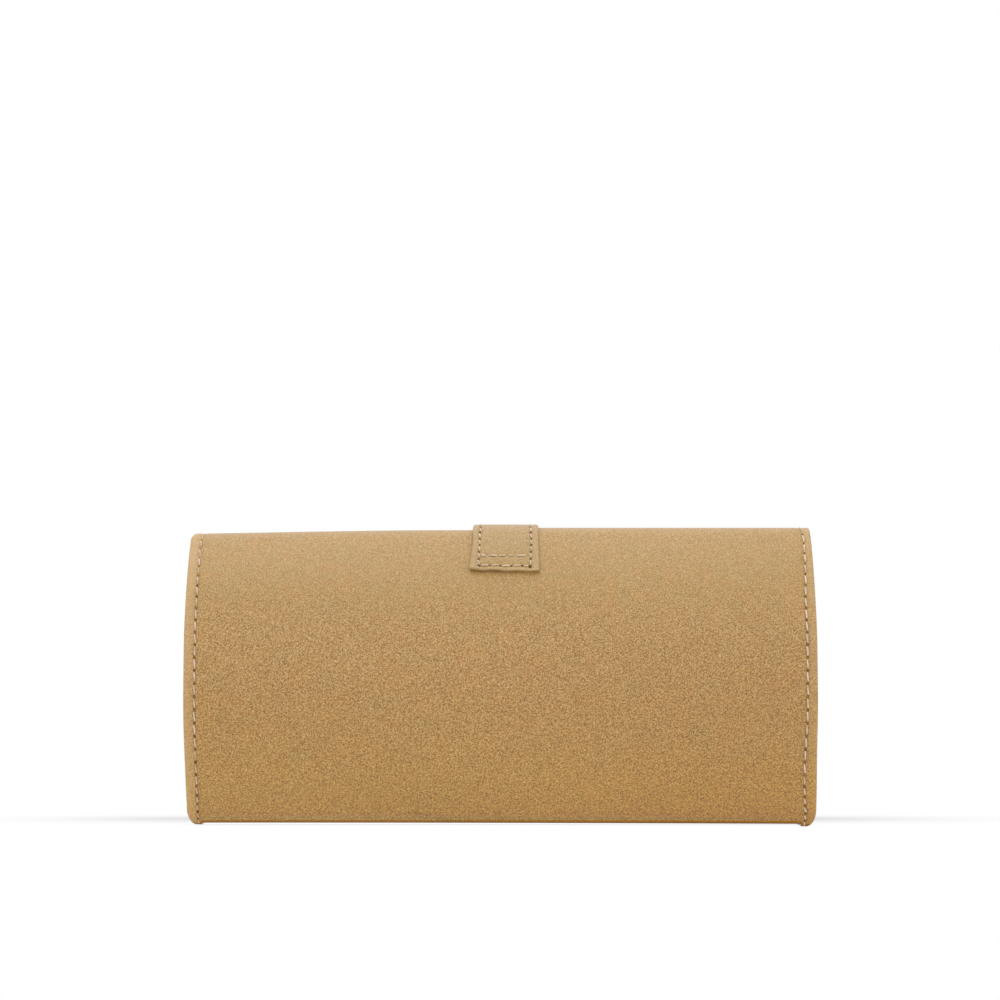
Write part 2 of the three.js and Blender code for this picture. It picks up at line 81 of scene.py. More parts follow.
# Driving sizes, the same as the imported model's.
HALF_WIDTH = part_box("back_panel")[1].x / MM
RIDGE_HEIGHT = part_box("back_panel")[1].z / MM
RIDGE_RADIUS = 8
RIDGE_TURN = math.radians(48)
BULGE_HEIGHT = 43.5
FOOT_HEIGHT = 3.2
FOLD_RUN = 3.6
BACK_FOOT = 19.9
FRONT_FOOT = 13.3
LEATHER = 1.8
FLAP_LEATHER = 1.6
BOARD = 0.8
LINING = 0.6
GAP = 0.3
FLAP_STAND_OFF = 4
FLAP_INSET = 0.5
FLAP_HALF = HALF_WIDTH - FLAP_INSET
FLAP_EDGE_HEIGHT = 36
FLAP_CORNER = 14
STRAP_LEFT = -12.5
STRAP_RIGHT = 8
STRAP_THICKNESS = 1.5
SEWN_THICKNESS = 1.05
TAB_LENGTH = 22.9
BRIDGE_LENGTH = 12
STRAP_TIP_HEIGHT = 12
STRAP_BACKING = 0.7
SNAP_HEIGHT = 24
SNAP_STACK = 2.8
CAP_RADIUS = 6.2
MOUTH_HEIGHT = 80
GUSSET_LEATHER = 1.2
GUSSET_FOLD_X = 88
GUSSET_SEAM_X = 97.5
GUSSET_FOLD_TOP = 68
GUSSET_DROP = 76
DIVIDER_Y = 2
DIVIDER_HALF = 86
DIVIDER_TOP = 64
DIVIDER_LEATHER = 0.9
FLOOR_CLEARANCE = 5
LINING_HALF = 94.5
BASE_BACKING_HALF = 86.0
CARD_POCKET_SPAN = (3.5, 91)
CARD_POCKET_TOPS = (70, 61, 52, 43)
SLIP_POCKET_TOP = 58
POCKET_FOOT = 7
ZIP_HALF = 72

# Stitching: distance in from an edge, hole spacing, and the dip that it pulls into the leather.
SEAM_INSET = 3.6
SEAM_PITCH = 4.05
SHELL_PITCH = SEAM_PITCH + 0.25
TIGHT_STRETCH = 20
GROOVE_DEPTH = 0.2
GROOVE_WIDTH = 0.75
DIMPLE_DEPTH = 0.28
DIMPLE_RADIUS = 0.7

# How far in from its even line the seam along the -X end strays: at these heights up the back, then
# where the flap starts and where the seam is even again.
WANDER_HEIGHTS = (4, 10, 15, 23, 31, 39, 74, 82, 89, 94)
WANDER = (0, 0.4, 0.6, 0.3, -0.1, -0.27, -0.3, -0.82, -0.95, -1.1, -0.63, 0)

# How far from its edge under the base the back's leather takes the shaded fold's material:
# painted shade, kept matt so that the floor's glow doesn't light it up.
SHADED_FOLD_WIDTH = 3.1

# Offsets from the ridge and a distance along the strap at which points are worked out and left unused.
RIDGE_BEND = 9
STRAP_BEND = 9


def ramp(x, start, end):
    """0 before start, 1 after end, and smooth between them."""
    t = np.clip((np.asarray(x, float) - start) / (end - start), 0, 1)
    return t * t * (3 - 2 * t)


# ---------------------------------------------------------------- lines in the section


def bezier(points, count=60):
    """Points along a Bezier curve of any degree."""
    t = np.linspace(0, 1, count)[:, None]
    degree = len(points) - 1
    return sum(
        math.comb(degree, k) * (1 - t) ** (degree - k) * t**k * np.array(point, float)
        for k, point in enumerate(points)
    )


class Line:
    """A line in the (y, z) section, with the direction into the wallet at each of its points."""

    def __init__(self, points, inward=None, side=1):
        self.points = np.array(points, float)
        steps = np.hypot(*np.diff(self.points, axis=0).T)
        self.distance = np.concatenate([[0.0], np.cumsum(steps)])
        self.length = self.distance[-1]
        if inward is None:
            tangent = np.gradient(self.points, self.distance, axis=0)
            tangent /= np.hypot(*tangent.T)[:, None]
            inward = side * np.stack([tangent[:, 1], -tangent[:, 0]], 1)
        self.inward = inward

    def at(self, distance, depth=0.0):
        y, z = (np.interp(distance, self.distance, self.points[:, k]) for k in (0, 1))
        inward_y, inward_z = (np.interp(distance, self.distance, self.inward[:, k]) for k in (0, 1))
        return y + depth * inward_y, z + depth * inward_z

    def moved(self, depth):
        return Line(self.points + depth * self.inward, self.inward)

    def reversed(self):
        return Line(self.points[::-1], self.inward[::-1])

    def then(self, other):
        return Line(
            np.vstack([self.points, other.points[1:]]), np.vstack([self.inward, other.inward[1:]])
        )

    def distance_at(self, height):
        """How far along a falling line it passes this height."""
        return float(np.interp(-height, -self.points[:, 1], self.distance))

    def cut(self, start, end):
        """The stretch between two distances."""
        inside = (self.distance > start) & (self.distance < end)
        ends = [np.stack(self.at(np.array([d]))).T for d in (start, end)]
        points = np.vstack([ends[0], self.points[inside], ends[1]])
        distances = np.concatenate([[start], self.distance[inside], [end]])
        inward = np.stack([np.interp(distances, self.distance, self.inward[:, k]) for k in (0, 1)], 1)
        return Line(points, inward)


def half_section(side, ridge_radius, bulge, foot, reach):
    """One side of the barrel, from its ridge over its bulge and foot to the fold under its base."""
    centre = RIDGE_HEIGHT - RIDGE_RADIUS
    angles = np.linspace(0, RIDGE_TURN, 30)
    arc = np.stack([ridge_radius * np.sin(angles), centre + ridge_radius * np.cos(angles)], 1)
    slope = np.array([math.cos(RIDGE_TURN), -math.sin(RIDGE_TURN)])
    widest = (bulge, BULGE_HEIGHT)
    ankle = (foot, FOOT_HEIGHT)
    shoulder = (bulge, BULGE_HEIGHT + 0.95 * reach)
    upper = bezier([arc[-1], arc[-1] + reach * slope, shoulder, widest], 120)
    skirt = (foot + 0.36 * (bulge - foot), 14)
    lower = bezier([widest, (bulge, BULGE_HEIGHT - 13), skirt, ankle], 90)
    fold = bezier([ankle, (foot - 0.6, 0), (foot - FOLD_RUN, 0)], 24)
    points = np.vstack([arc, upper[1:], lower[1:], fold[1:]])
    return Line(points * [side, 1], side=side)


back = half_section(1, RIDGE_RADIUS, 28, BACK_FOOT, 17.5)
front = half_section(-1, RIDGE_RADIUS - FLAP_STAND_OFF, 18, FRONT_FOOT, 14)
flap_outer = front.moved(-FLAP_STAND_OFF)


def on_moved(distance, depth):
    """The distance along the front line moved by depth that faces this distance along it."""
    return float(np.interp(distance, front.distance, front.moved(depth).distance))


FLAP_LENGTH = on_moved(front.distance_at(FLAP_EDGE_HEIGHT), -FLAP_STAND_OFF)


def catmull_rom(points, count=12):
    """Points along a spline through the given points."""
    points = np.array(points, float)
    made = []
    for i in range(len(points) - 1):
        p0, p1, p2, p3 = (points[min(max(i + k, 0), len(points) - 1)] for k in (-1, 0, 1, 2))
        for t in np.linspace(0, 1, count, endpoint=False):
            v0, v1 = (p2 - p0) / 2, (p3 - p1) / 2
            made.append(
                (2 * p1 - 2 * p2 + v0 + v1) * t**3
                + (-3 * p1 + 3 * p2 - 2 * v0 - v1) * t**2
                + v0 * t
                + p1
            )
    return np.array([*made, points[-1]])


def strap_line():
    """The inner face of the free strap: down the flap, over its edge and in to the snap."""
    flap_end = front.distance_at(FLAP_EDGE_HEIGHT)
    start, end = BRIDGE_LENGTH + GAP / 2, flap_end + 1
    on_flap = np.linspace(start, end, math.ceil((end - start) / 6) + 1)
    heights = (SNAP_HEIGHT + CAP_RADIUS, SNAP_HEIGHT, STRAP_TIP_HEIGHT)
    points = [front.at(d, -FLAP_STAND_OFF - 1.4 * GAP) for d in on_flap]
    points += [front.at(front.distance_at(h), -SNAP_STACK) for h in heights]
    return Line(catmull_rom(points), side=-1)


# ---------------------------------------------------------------- the sewn wallet's own shape


def drape(x, y, z, stiff=False):
    """Offsets in millimetres from the even section: a ridge that droops towards +X, ends that
    narrow towards the base, a back fold held off the surface by the corner seams, and slight waves."""
    side = np.sign(x)
    reach = np.abs(x) / HALF_WIDTH
    droop = 0.8 * ramp(x, -6, 8) + 1.3 * ramp(x, 18, 125)
    dz = 0.19 + 0.005 * z - (0 if stiff else droop * ramp(z, 74, 97))
    seam = ramp(np.abs(x) - 3.2 * ramp(y, 12, 0), 97.3, 98.1)
    under = 0.95 + 0.002 * x - 0.000013 * x**2
    clearance = under * (1 - seam) + (0.66 * ramp(x, -50, 50) - 0.19) * seam
    dz = dz + clearance * ramp(z, 18, 3)
    trim = 0.24 * ramp(z, 46, 66) - 0.3 * ramp(z, 40, 14) - 0.12 * ramp(z, 14, 6)
    trim = trim - 0.1 * ramp(z, 91, 97) - 0.8 * ramp(z, 96, 98.2) * ramp(x, 0, 60)
    corner = 3.0 * (1 - np.sqrt(1 - np.clip((5 - z) / 5, 0, 0.998) ** 1.6)) * ramp(np.abs(x), 97.5, 103)
    dx = side * (trim * reach**2 - corner) - 0.3 * ramp(z, 30, 4)
    swell = np.sin(x / 29 + 0.8) * np.sin(z / 17 + 0.4) + 0.6 * np.sin(x / 13 - z / 21 + 2.1)
    dy = 0.22 * swell * (ramp(y, 6, 18) - ramp(y, -4, -12) * 0.6) * ramp(z, 4, 20)
    return dx, dy, dz


def to_frame(x, y, z, stiff=False):
    dx, dy, dz = drape(x, y, z, stiff)
    return np.stack([x + dx, y + dy + RIDGE_Y, z + dz], -1) * MM


# ---------------------------------------------------------------- mesh building


def new_piece(name, vertices, faces, material, slot=None, flat=None, edge=None, sharp=40):
    """A mesh piece from arrays of corners in the frame. flat holds each corner's place in the cut
    sheet, in millimetres, and edge its distance from the sheet's edge, for the materials."""
    vertices = np.asarray(vertices, float).reshape(-1, 3)
    mesh = bpy.data.meshes.new(name)
    mesh.from_pydata(vertices.tolist(), [], [list(map(int, face)) for face in faces])
    if flat is None:
        flat = vertices / MM
    layer = mesh.attributes.new("flat", "FLOAT_VECTOR", "POINT")
    layer.data.foreach_set("vector", np.asarray(flat, np.float32).ravel())
    layer = mesh.attributes.new("edge", "FLOAT", "POINT")
    values = np.full(len(vertices), 50.0) if edge is None else edge
    layer.data.foreach_set("value", np.asarray(values, np.float32).ravel())
    mesh.update()
    mesh.polygons.foreach_set("use_smooth", [True] * len(mesh.polygons))
    mesh.set_sharp_from_angle(angle=math.radians(sharp))
    mesh.materials.append(material)
    piece = bpy.data.objects.new(name, mesh)
    bpy.context.scene.collection.objects.link(piece)
    return piece


def facing_out(vertices, faces):
    """The faces of a closed mesh, all turned round if they point inwards."""
    fans = [(face[0], face[i], face[i + 1]) for face in faces for i in range(1, len(face) - 1)]
    a, b, c = (vertices[corner] for corner in np.array(fans).T)
    volume = np.einsum("ij,ij->", a, np.cross(b, c))
    return [face[::-1] for face in faces] if volume < 0 else faces


def grid_faces(rows, columns, start=0, close=False):
    """Quads over a grid of corners; close joins the last column to the first."""
    i, j = np.meshgrid(np.arange(rows - 1), np.arange(columns if close else columns - 1), indexing="ij")
    nxt = (j + 1) % columns
    corners = [i * columns + j, i * columns + nxt, (i + 1) * columns + nxt, (i + 1) * columns + j]
    return np.stack([start + c.ravel() for c in corners], 1)


def closed_sheet(name, layers, flats, inside, material, slot):
    """A sheet closed round its rim. layers are the corners of its two faces, flats their places in
    the cut sheet, and inside how far from its edge they are."""
    rows, columns = inside.shape
    count = rows * columns
    rim = np.array([
        *range(columns),
        *(r * columns + columns - 1 for r in range(1, rows)),
        *(count - 1 - c for c in range(1, columns)),
        *((rows - 1 - r) * columns for r in range(1, rows - 1)),
    ])
    after = np.roll(rim, -1)
    faces = [
        *grid_faces(rows, columns),
        *grid_faces(rows, columns, count)[:, ::-1],
        *np.stack([after, rim, rim + count, after + count], 1),
    ]
    vertices, flat = (np.concatenate([face.reshape(-1, 3) for face in pair]) for pair in (layers, flats))
    edge = np.concatenate([inside.ravel()] * 2)
    return new_piece(name, vertices, facing_out(vertices, faces), material, slot, flat, edge)


def outline_distance(x, s, half, start, end, corner=0.0, centre=0.0):
    """How far inside a strip's outline a place is, where the strip's far end has round corners."""
    from_side = half - np.abs(x - centre)
    from_end = end - s
    nearest = np.minimum(np.minimum(from_side, from_end), s - start)
    if not corner:
        return nearest
    in_corner = (from_side < corner) & (from_end < corner)
    round_distance = corner - np.hypot(corner - from_side, corner - from_end)
    return np.where(in_corner, round_distance, nearest)


def rolled(edge, width, drop):
    """How far a rounded rim falls away, near an edge."""
    share = np.clip(1 - edge / width, 0, 1)
    return drop * (1 - np.sqrt(1 - share**2 * 0.999))


def insets(width, fine, step):
    """Places across a width: the fine distances in from both edges, then an even spacing."""
    fine = [f for f in fine if f < width / 2 - step / 2]
    count = max(1, round((width - 2 * fine[-1]) / step))
    middle = np.linspace(fine[-1], width - fine[-1], count + 1)[1:-1]
    return np.concatenate([fine, middle, width - np.array(fine[::-1])]) / width


def rows_between(start, end, step, corner=0.0, rim=1.5):
    """Distances along a sheet, closer together at its ends and round its far corners."""
    near = start + rim * np.array([0, 0.1, 0.25, 0.45, 0.7, 1])
    if corner:
        far = end - corner + corner * np.sin(np.linspace(0, math.pi / 2, 26))
    else:
        far = end - rim * np.array([1, 0.7, 0.45, 0.25, 0.1, 0])
    count = max(2, round((far[0] - near[-1]) / step))
    return np.concatenate([near, np.linspace(near[-1], far[0], count + 1)[1:-1], far])


SEAM_FINE = (0, 0.15, 0.35, 0.6, 1.0, 1.5, 2.1, 2.7, 3.1, 3.4, 3.7, 4.0, 4.4, 5.0, 6.0, 7.5)
RIM_FINE = (0, 0.12, 0.3, 0.6, 1.0, 1.6, 2.3, 3.2, 4.5)


def slab(name, place, s, across, span, depths, material, slot, edge, relief=None, roll=(1.2, 0.5),
         stiff=False):
    """A closed sheet. place(s, depth) gives (y, z), span(s) its left and right, across the shares
    of that width where its corners lie, depths its outer and inner face, and edge(x, s) how far
    inside the outline a place is. Both faces round off towards the outline by roll."""
    s = np.asarray(s, float)[:, None]
    left, right = span(s)
    x = left + (right - left) * np.asarray(across)[None, :]
    s = np.broadcast_to(s, x.shape)
    inside = np.maximum(edge(x, s), 0)
    outer, inner = (np.broadcast_to(d(s) if callable(d) else d, x.shape) for d in depths)
    thickness = inner - outer
    dip = relief(x, s, inside) if relief else 0.0
    faces = (
        outer + dip + rolled(inside, roll[0], 0.4 * thickness),
        inner + 0.5 * dip - rolled(inside, roll[1], 0.3 * thickness),
    )
    layers = [to_frame(x, *place(s, depth), stiff) for depth in faces]
    flats = [np.stack([x, s, np.full(x.shape, 4.0 * k)], -1) for k in (0, 1)]
    return closed_sheet(name, layers, flats, inside, material, slot)


def punched(holes, depth=DIMPLE_DEPTH, radius=DIMPLE_RADIUS):
    """A relief that dips at each of the given places."""
    holes = np.asarray(holes, float)

    def relief(x, s, inside):
        dip = np.zeros(x.shape)
        for hole_x, hole_s in holes:
            near = (np.abs(x - hole_x) < 3 * radius) & (np.abs(s - hole_s) < 3 * radius)
            away = (x[near] - hole_x) ** 2 + (s[near] - hole_s) ** 2
            dip[near] += depth * np.exp(-away / radius**2)
        return dip

    return relief


def quarter_turn(centre_x, centre_s, radius, count):
    """(x, s) points round the corner of a seam."""
    angles = np.linspace(0, math.pi / 2, count)
    return [(centre_x + radius * math.cos(a), centre_s + radius * math.sin(a)) for a in angles]


def along(points, pitch, tight=0.0):
    """Evenly spaced places along a path of (x, s) points, closer together for its first stretch."""
    points = np.array(points, float)
    steps = np.hypot(*np.diff(points, axis=0).T)
    distance = np.concatenate([[0.0], np.cumsum(steps)])
    wanted = [0.0]
    while wanted[-1] < distance[-1]:
        ease = 0.55 + 0.45 * float(ramp(wanted[-1], 0, tight)) if tight else 1.0
        wanted.append(wanted[-1] + pitch * ease)
    wanted = np.array(wanted) * distance[-1] / wanted[-1]
    return np.stack([np.interp(wanted, distance, points[:, k]) for k in (0, 1)], 1)


# Rings along one stitch: share of its length, lift off the leather and relative thickness.
THREAD_RINGS = (
    (0.0, -0.35, 0.6), (0.07, -0.08, 0.85), (0.25, 0.03, 1), (0.5, 0.07, 1), (0.75, 0.03, 1),
    (0.93, -0.08, 0.85), (1.0, -0.35, 0.6),
)
THREAD_SIDES = 8
HOLE_SIDES = 10


def stitches(name, place, runs, radius=0.3, slant=0.3, gap=0.5, hole=0.6):
    """Two pieces: the threads, and dark discs painted as the shade inside the needle holes of some
    runs of stitching. place(x, s, lift) gives points in the frame, lifted off the face that the
    stitches lie on. radius and hole are sizes, or functions that give the size at an (x, s) place."""
    rng = random.Random(name)
    angle = np.linspace(0, 2 * math.pi, THREAD_SIDES, endpoint=False)
    turn = np.linspace(0, 2 * math.pi, HOLE_SIDES, endpoint=False)
    thread, thread_faces, pits, pit_faces = [], [], [], []

    def heading(a, b):
        run = (b - a) / np.hypot(*(b - a))
        return run, np.array([-run[1], run[0]])

    for holes in runs:
        for a, b in zip(holes[:-1], holes[1:]):
            run, sideways = heading(a, b)
            first, last = a + run * gap, b - run * gap
            lean = slant * rng.uniform(0.5, 1.5)
            plump = (radius(a) if callable(radius) else radius) * rng.uniform(0.75, 1.15)
            start = sum(len(points) for points in thread)
            rings = []
            for share, lift, size in THREAD_RINGS:
                centre = first + (last - first) * share + sideways * lean * (0.5 - share)
                ring = centre + np.outer(np.cos(angle) * plump * size, sideways)
                height = lift + plump * size * 0.7 * (1 + np.sin(angle))
                rings.append(place(ring[:, 0], ring[:, 1], height))
            thread.append(np.concatenate(rings))
            tip = start + (len(rings) - 1) * THREAD_SIDES
            thread_faces += list(grid_faces(len(rings), THREAD_SIDES, start, close=True))
            thread_faces += [range(start, start + THREAD_SIDES)[::-1], range(tip, tip + THREAD_SIDES)]
        for a, b in zip(holes, [*holes[1:], 2 * holes[-1] - holes[-2]]):
            run, sideways = heading(a, b)
            size = hole(a) if callable(hole) else hole
            long = size * rng.uniform(0.85, 1.15)
            ring = a + np.outer(np.cos(turn) * long, run) + np.outer(np.sin(turn) * size * 0.68, sideways)
            start = sum(len(points) for points in pits)
            middle = np.array([a, a])
            pits.append(np.concatenate([
                place(ring[:, 0], ring[:, 1], np.full(HOLE_SIDES, 0.03)),
                place(middle[:, 0], middle[:, 1], np.array([0.06, -0.4])),
            ]))
            for i in range(HOLE_SIDES):
                j = (i + 1) % HOLE_SIDES
                pit_faces.append([start + i, start + j, start + HOLE_SIDES])
                pit_faces.append([start + j, start + i, start + HOLE_SIDES + 1])
    made = []
    # The holes' piece is small dark discs: painted shade inside the needle holes.
    for suffix, parts, faces, look, slot in (
        ("", thread, thread_faces, THREAD, "thread"), ("_hole_shade", pits, pit_faces, HOLE_SHADE, None),
    ):
        vertices = np.concatenate(parts)
        made.append(new_piece(name + suffix, vertices, facing_out(vertices, faces), look, slot, sharp=80))
    return made


# ---------------------------------------------------------------- materials


def add_node(tree, kind, inputs=None, **settings):
    made = tree.nodes.new("ShaderNode" + kind)
    for key, value in settings.items():
        setattr(made, key, value)
    for key, value in (inputs or {}).items():
        if isinstance(value, bpy.types.NodeSocket):
            tree.links.new(value, made.inputs[key])
        else:
            made.inputs[key].default_value = value
    return made


def new_material(name, **constants):
    """A material and its tree, with constant values set on the shader's own sockets."""
    material = bpy.data.materials.new(name)
    material.use_nodes = True
    tree = material.node_tree
    shader = tree.nodes["Principled BSDF"]
    for key, value in constants.items():
        shader.inputs[key.replace("_", " ")].default_value = value
    return material, tree, shader


def attribute(tree, name):
    return add_node(tree, "Attribute", attribute_name=name)


def noise(tree, vector, scale, detail=2.0, rough=0.5):
    values = {"Vector": vector, "Scale": scale, "Detail": detail, "Roughness": rough}
    return add_node(tree, "TexNoise", values).outputs["Fac"]


def remap(tree, value, low, high, out_low, out_high):
    values = {"Value": value, "From Min": low, "From Max": high, "To Min": out_low, "To Max": out_high}
    return add_node(tree, "MapRange", values).outputs["Result"]


def mix(tree, share, a, b, blend="MIX"):
    """A colour mix; share, a and b are sockets or plain values."""
    made = add_node(tree, "Mix", data_type="RGBA", blend_type=blend)
    for socket, value in ((made.inputs[0], share), (made.inputs[6], a), (made.inputs[7], b)):
        if isinstance(value, bpy.types.NodeSocket):
            tree.links.new(value, socket)
        elif isinstance(value, tuple) and len(value) == 3:
            socket.default_value = (*value, 1)
        else:
            socket.default_value = value
    return made.outputs[2]


def calculate(tree, operation, a, b=0.0):
    return add_node(tree, "Math", {0: a, 1: b}, operation=operation).outputs[0]


def multiply(tree, a, b):
    return calculate(tree, "MULTIPLY", a, b)


def add_bump(tree, shader, height, strength, distance):
    values = {"Height": height, "Strength": strength, "Distance": distance * MM}
    made = add_node(tree, "Bump", values)
    tree.links.new(made.outputs["Normal"], shader.inputs["Normal"])


def nubuck(name, warm, cool, speckle=1.0, fold_shade=0.0, sheen=0.3, specular=0.8):
    """Napped leather: fine speckle, blotches that drift between two tans, and paler edges.
    fold_shade is how dark the shade painted into the fold at the start of the sheet is."""
    material, tree, shader = new_material(
        name, Roughness=0.52, Sheen_Weight=sheen, Sheen_Roughness=0.5, Specular_IOR_Level=specular
    )

    def fade(value, start, end, most=1.0):
        return remap(tree, value, start, end, 0, most)

    def shifted(amount, shares):
        """The warm tan with this much added, in proportion to each channel's share."""
        return tuple(max(0.0, c + amount * speckle * k) for c, k in zip(warm, shares))

    pale = shifted(0.2, (0.97, 0.98, 0.92))
    deep = shifted(-0.21, (1, 0.65, 0.18))
    fleck = shifted(0.34, (0.95, 1, 1.15))
    flat = attribute(tree, "flat").outputs["Vector"]
    axes = add_node(tree, "SeparateXYZ", {"Vector": flat})
    across, run = axes.outputs["X"], axes.outputs["Y"]
    edge = attribute(tree, "edge").outputs["Fac"]
    nap = add_node(tree, "Mapping", {"Vector": flat, "Rotation": (0.5, 0.4, 0.7)}).outputs["Vector"]
    blotch = noise(tree, flat, 0.13, 4, 0.7)
    mottle = noise(tree, flat, 0.42, 3, 0.6)
    grain = noise(tree, nap, 2.1, 3, 0.65)
    pore = noise(tree, nap, 3.1, 2, 0.6)
    light_nap, dark_nap = fade(grain, 0.5, 0.64), fade(grain, 0.5, 0.36)
    if fold_shade:
        brushed = multiply(tree, fade(run, 66, 86, 0.45), fade(run, 125, 104))
        lively = remap(tree, brushed, 0, 1, 1, 0)
        light_nap, dark_nap = multiply(tree, light_nap, lively), multiply(tree, dark_nap, lively)
    layers = [
        (multiply(tree, fade(mottle, 0.3, 0.7), 0.1), pale, "MIX"),
        (light_nap, pale, "MIX"),
        (dark_nap, deep, "MIX"),
        (fade(pore, 0.6, 0.74, 0.8), fleck, "MIX"),
        (fade(pore, 0.42, 0.28, 0.8), tuple(0.42 * c for c in warm), "MIX"),
        # The cut edge: paler within a few millimetres of it, and dark at the very rim.
        (fade(edge, 3.4, 1.2, 0.25), pale, "MIX"),
        (fade(edge, 0.25, 0.0, 0.45), tuple(0.5 * c for c in warm), "MIX"),
    ]
    if fold_shade:
        dark = tuple(c * k for c, k in zip(warm, (0.52, 0.32, 0.3)))
        minus_x_share = fade(across, 20, -60)
        layers += [
            # Painted shade: yellower and darker towards the base, and dark where the leather folds under
            # it.
            (fade(run, 85, 5), (0.97, 0.905, 0.38), "MULTIPLY"),
            (fade(run, 14, 5, 0.15 * fold_shade), dark, "MIX"),
            (fade(run, 3.3, 1.8, fold_shade), dark, "MIX"),
            # Painted shade that tones down the top light's sheen on the upper back, and a paler strip
            # along the +X end.
            (fade(run, 50, 82), (0.95, 0.965, 0.8), "MULTIPLY"),
            (fade(across, 98.6, 99.8, 0.2), pale, "MIX"),
            # The half towards -X is a little darker, and yellower near the base.
            (multiply(tree, minus_x_share, fade(run, 80, 62)), (0.965, 0.95, 0.92), "MULTIPLY"),
            (multiply(tree, minus_x_share, fade(run, 30, 5)), (0.985, 0.92, 0.62), "MULTIPLY"),
            # Painted shade in the crease above the fold, on the lip above that, and on the fold's
            # underside.
            (multiply(tree, fade(run, 4.1, 3.8), fade(run, 3.0, 3.5)), (0.79, 0.91, 0.98), "MULTIPLY"),
            (multiply(tree, fade(run, 6.0, 5.1), fade(run, 3.8, 4.3)), (0.95, 0.9, 0.78), "MULTIPLY"),
            (fade(run, 2.5, 1.7), (0.74, 0.86, 1.0), "MULTIPLY"),
        ]
    tone = mix(tree, fade(blotch, 0.34, 0.66), warm, cool)
    for share, colour, blend in layers:
        tone = mix(tree, share, tone, colour, blend)
    tree.links.new(tone, shader.inputs["Base Color"])
    tree.links.new(remap(tree, grain, 0.3, 0.7, 0.6, 0.46), shader.inputs["Roughness"])
    add_bump(tree, shader, mix(tree, 0.4, grain, pore), 0.6, 0.12)
    return material


def smooth_leather(name, tone, dark):
    """Fine-grained pocket leather with small pebbles and burnished edges."""
    material, tree, shader = new_material(name, Roughness=0.55, Specular_IOR_Level=0.4)
    flat = attribute(tree, "flat").outputs["Vector"]
    cells = add_node(tree, "TexVoronoi", {"Vector": flat, "Scale": 1.1}, feature="DISTANCE_TO_EDGE")
    pebble = remap(tree, cells.outputs["Distance"], 0.0, 0.22, 0, 1)
    cloud = noise(tree, flat, 0.12, 3, 0.55)
    colour = mix(tree, remap(tree, cloud, 0.3, 0.7, 0, 0.5), tone, dark)
    colour = mix(tree, remap(tree, pebble, 0.6, 0.0, 0, 0.35), colour, dark)
    edge = attribute(tree, "edge").outputs["Fac"]
    colour = mix(tree, remap(tree, edge, 0.6, 0.1, 0, 0.7), colour, tuple(0.6 * c for c in dark))
    tree.links.new(colour, shader.inputs["Base Color"])
    tree.links.new(remap(tree, cloud, 0.3, 0.7, 0.48, 0.62), shader.inputs["Roughness"])
    add_bump(tree, shader, pebble, 0.35, 0.08)
    return material


def microsuede(name, tone, shade):
    """A brushed lining cloth: short fibres lying mostly one way."""
    material, tree, shader = new_material(
        name, Roughness=0.9, Sheen_Weight=0.4, Sheen_Roughness=0.5, Specular_IOR_Level=0.2
    )
    flat = attribute(tree, "flat").outputs["Vector"]
    stretch = add_node(tree, "Mapping", {"Vector": flat, "Scale": (3.0, 0.8, 1.0)})
    fibre = noise(tree, stretch.outputs["Vector"], 1.6, 4, 0.7)
    brushed = noise(tree, flat, 0.06, 2, 0.5)
    colour = mix(tree, remap(tree, brushed, 0.35, 0.65, 0, 0.35), tone, shade)
    colour = mix(tree, remap(tree, fibre, 0.35, 0.65, 0.3, 0), colour, shade)
    tree.links.new(colour, shader.inputs["Base Color"])
    tree.links.new(remap(tree, fibre, 0.3, 0.7, 0.95, 0.8), shader.inputs["Roughness"])
    add_bump(tree, shader, fibre, 0.3, 0.08)
    return material


def fibre_board(name, tone):
    """Pressed stiffener board with loose dark and pale fibres."""
    material, tree, shader = new_material(name, Roughness=0.95, Specular_IOR_Level=0.15)
    flat = attribute(tree, "flat").outputs["Vector"]
    fibre = noise(tree, flat, 1.8, 5, 0.8)
    light = remap(tree, fibre, 0.3, 0.7, 0.6, 1.4)
    tree.links.new(mix(tree, 1.0, tone, light, "MULTIPLY"), shader.inputs["Base Color"])
    add_bump(tree, shader, fibre, 0.4, 0.1)
    return material


def herringbone_tape(name, tone, shade):
    """Woven zip tape: short slanted ribs that turn round every 1.6 mm."""
    material, tree, shader = new_material(name, Roughness=0.85, Sheen_Weight=0.2)
    flat = attribute(tree, "flat").outputs["Vector"]
    axes = add_node(tree, "SeparateXYZ", {"Vector": flat})
    zigzag = calculate(tree, "PINGPONG", axes.outputs["Y"], 0.8)
    rib = calculate(tree, "ADD", axes.outputs["X"], zigzag)
    wave = calculate(tree, "SINE", multiply(tree, rib, 11.0))
    height = remap(tree, wave, -1, 1, 0, 1)
    colour = mix(tree, height, shade, tone)
    tree.links.new(colour, shader.inputs["Base Color"])
    tree.links.new(remap(tree, height, 0, 1, 0.95, 0.75), shader.inputs["Roughness"])
    add_bump(tree, shader, height, 0.6, 0.12)
    return material


def waxed_thread(name, tone, shade):
    """Twisted thread: fine ply lines and uneven tone along its length."""
    material, tree, shader = new_material(name, Roughness=0.6, Sheen_Weight=0.15)
    flat = attribute(tree, "flat").outputs["Vector"]
    tilted = add_node(tree, "Mapping", {"Vector": flat, "Rotation": (0.3, 0.5, 0.6)})
    ply = add_node(tree, "TexWave", {"Vector": tilted.outputs["Vector"], "Scale": 1.3, "Distortion": 0.6})
    soil = noise(tree, flat, 0.35, 3, 0.6)
    colour = mix(tree, remap(tree, soil, 0.4, 0.62, 0, 0.75), tone, shade)
    colour = mix(tree, multiply(tree, ply.outputs["Fac"], 0.3), colour, shade)
    tree.links.new(colour, shader.inputs["Base Color"])
    tree.links.new(remap(tree, soil, 0.3, 0.7, 0.7, 0.5), shader.inputs["Roughness"])
    add_bump(tree, shader, ply.outputs["Fac"], 0.5, 0.08)
    return material


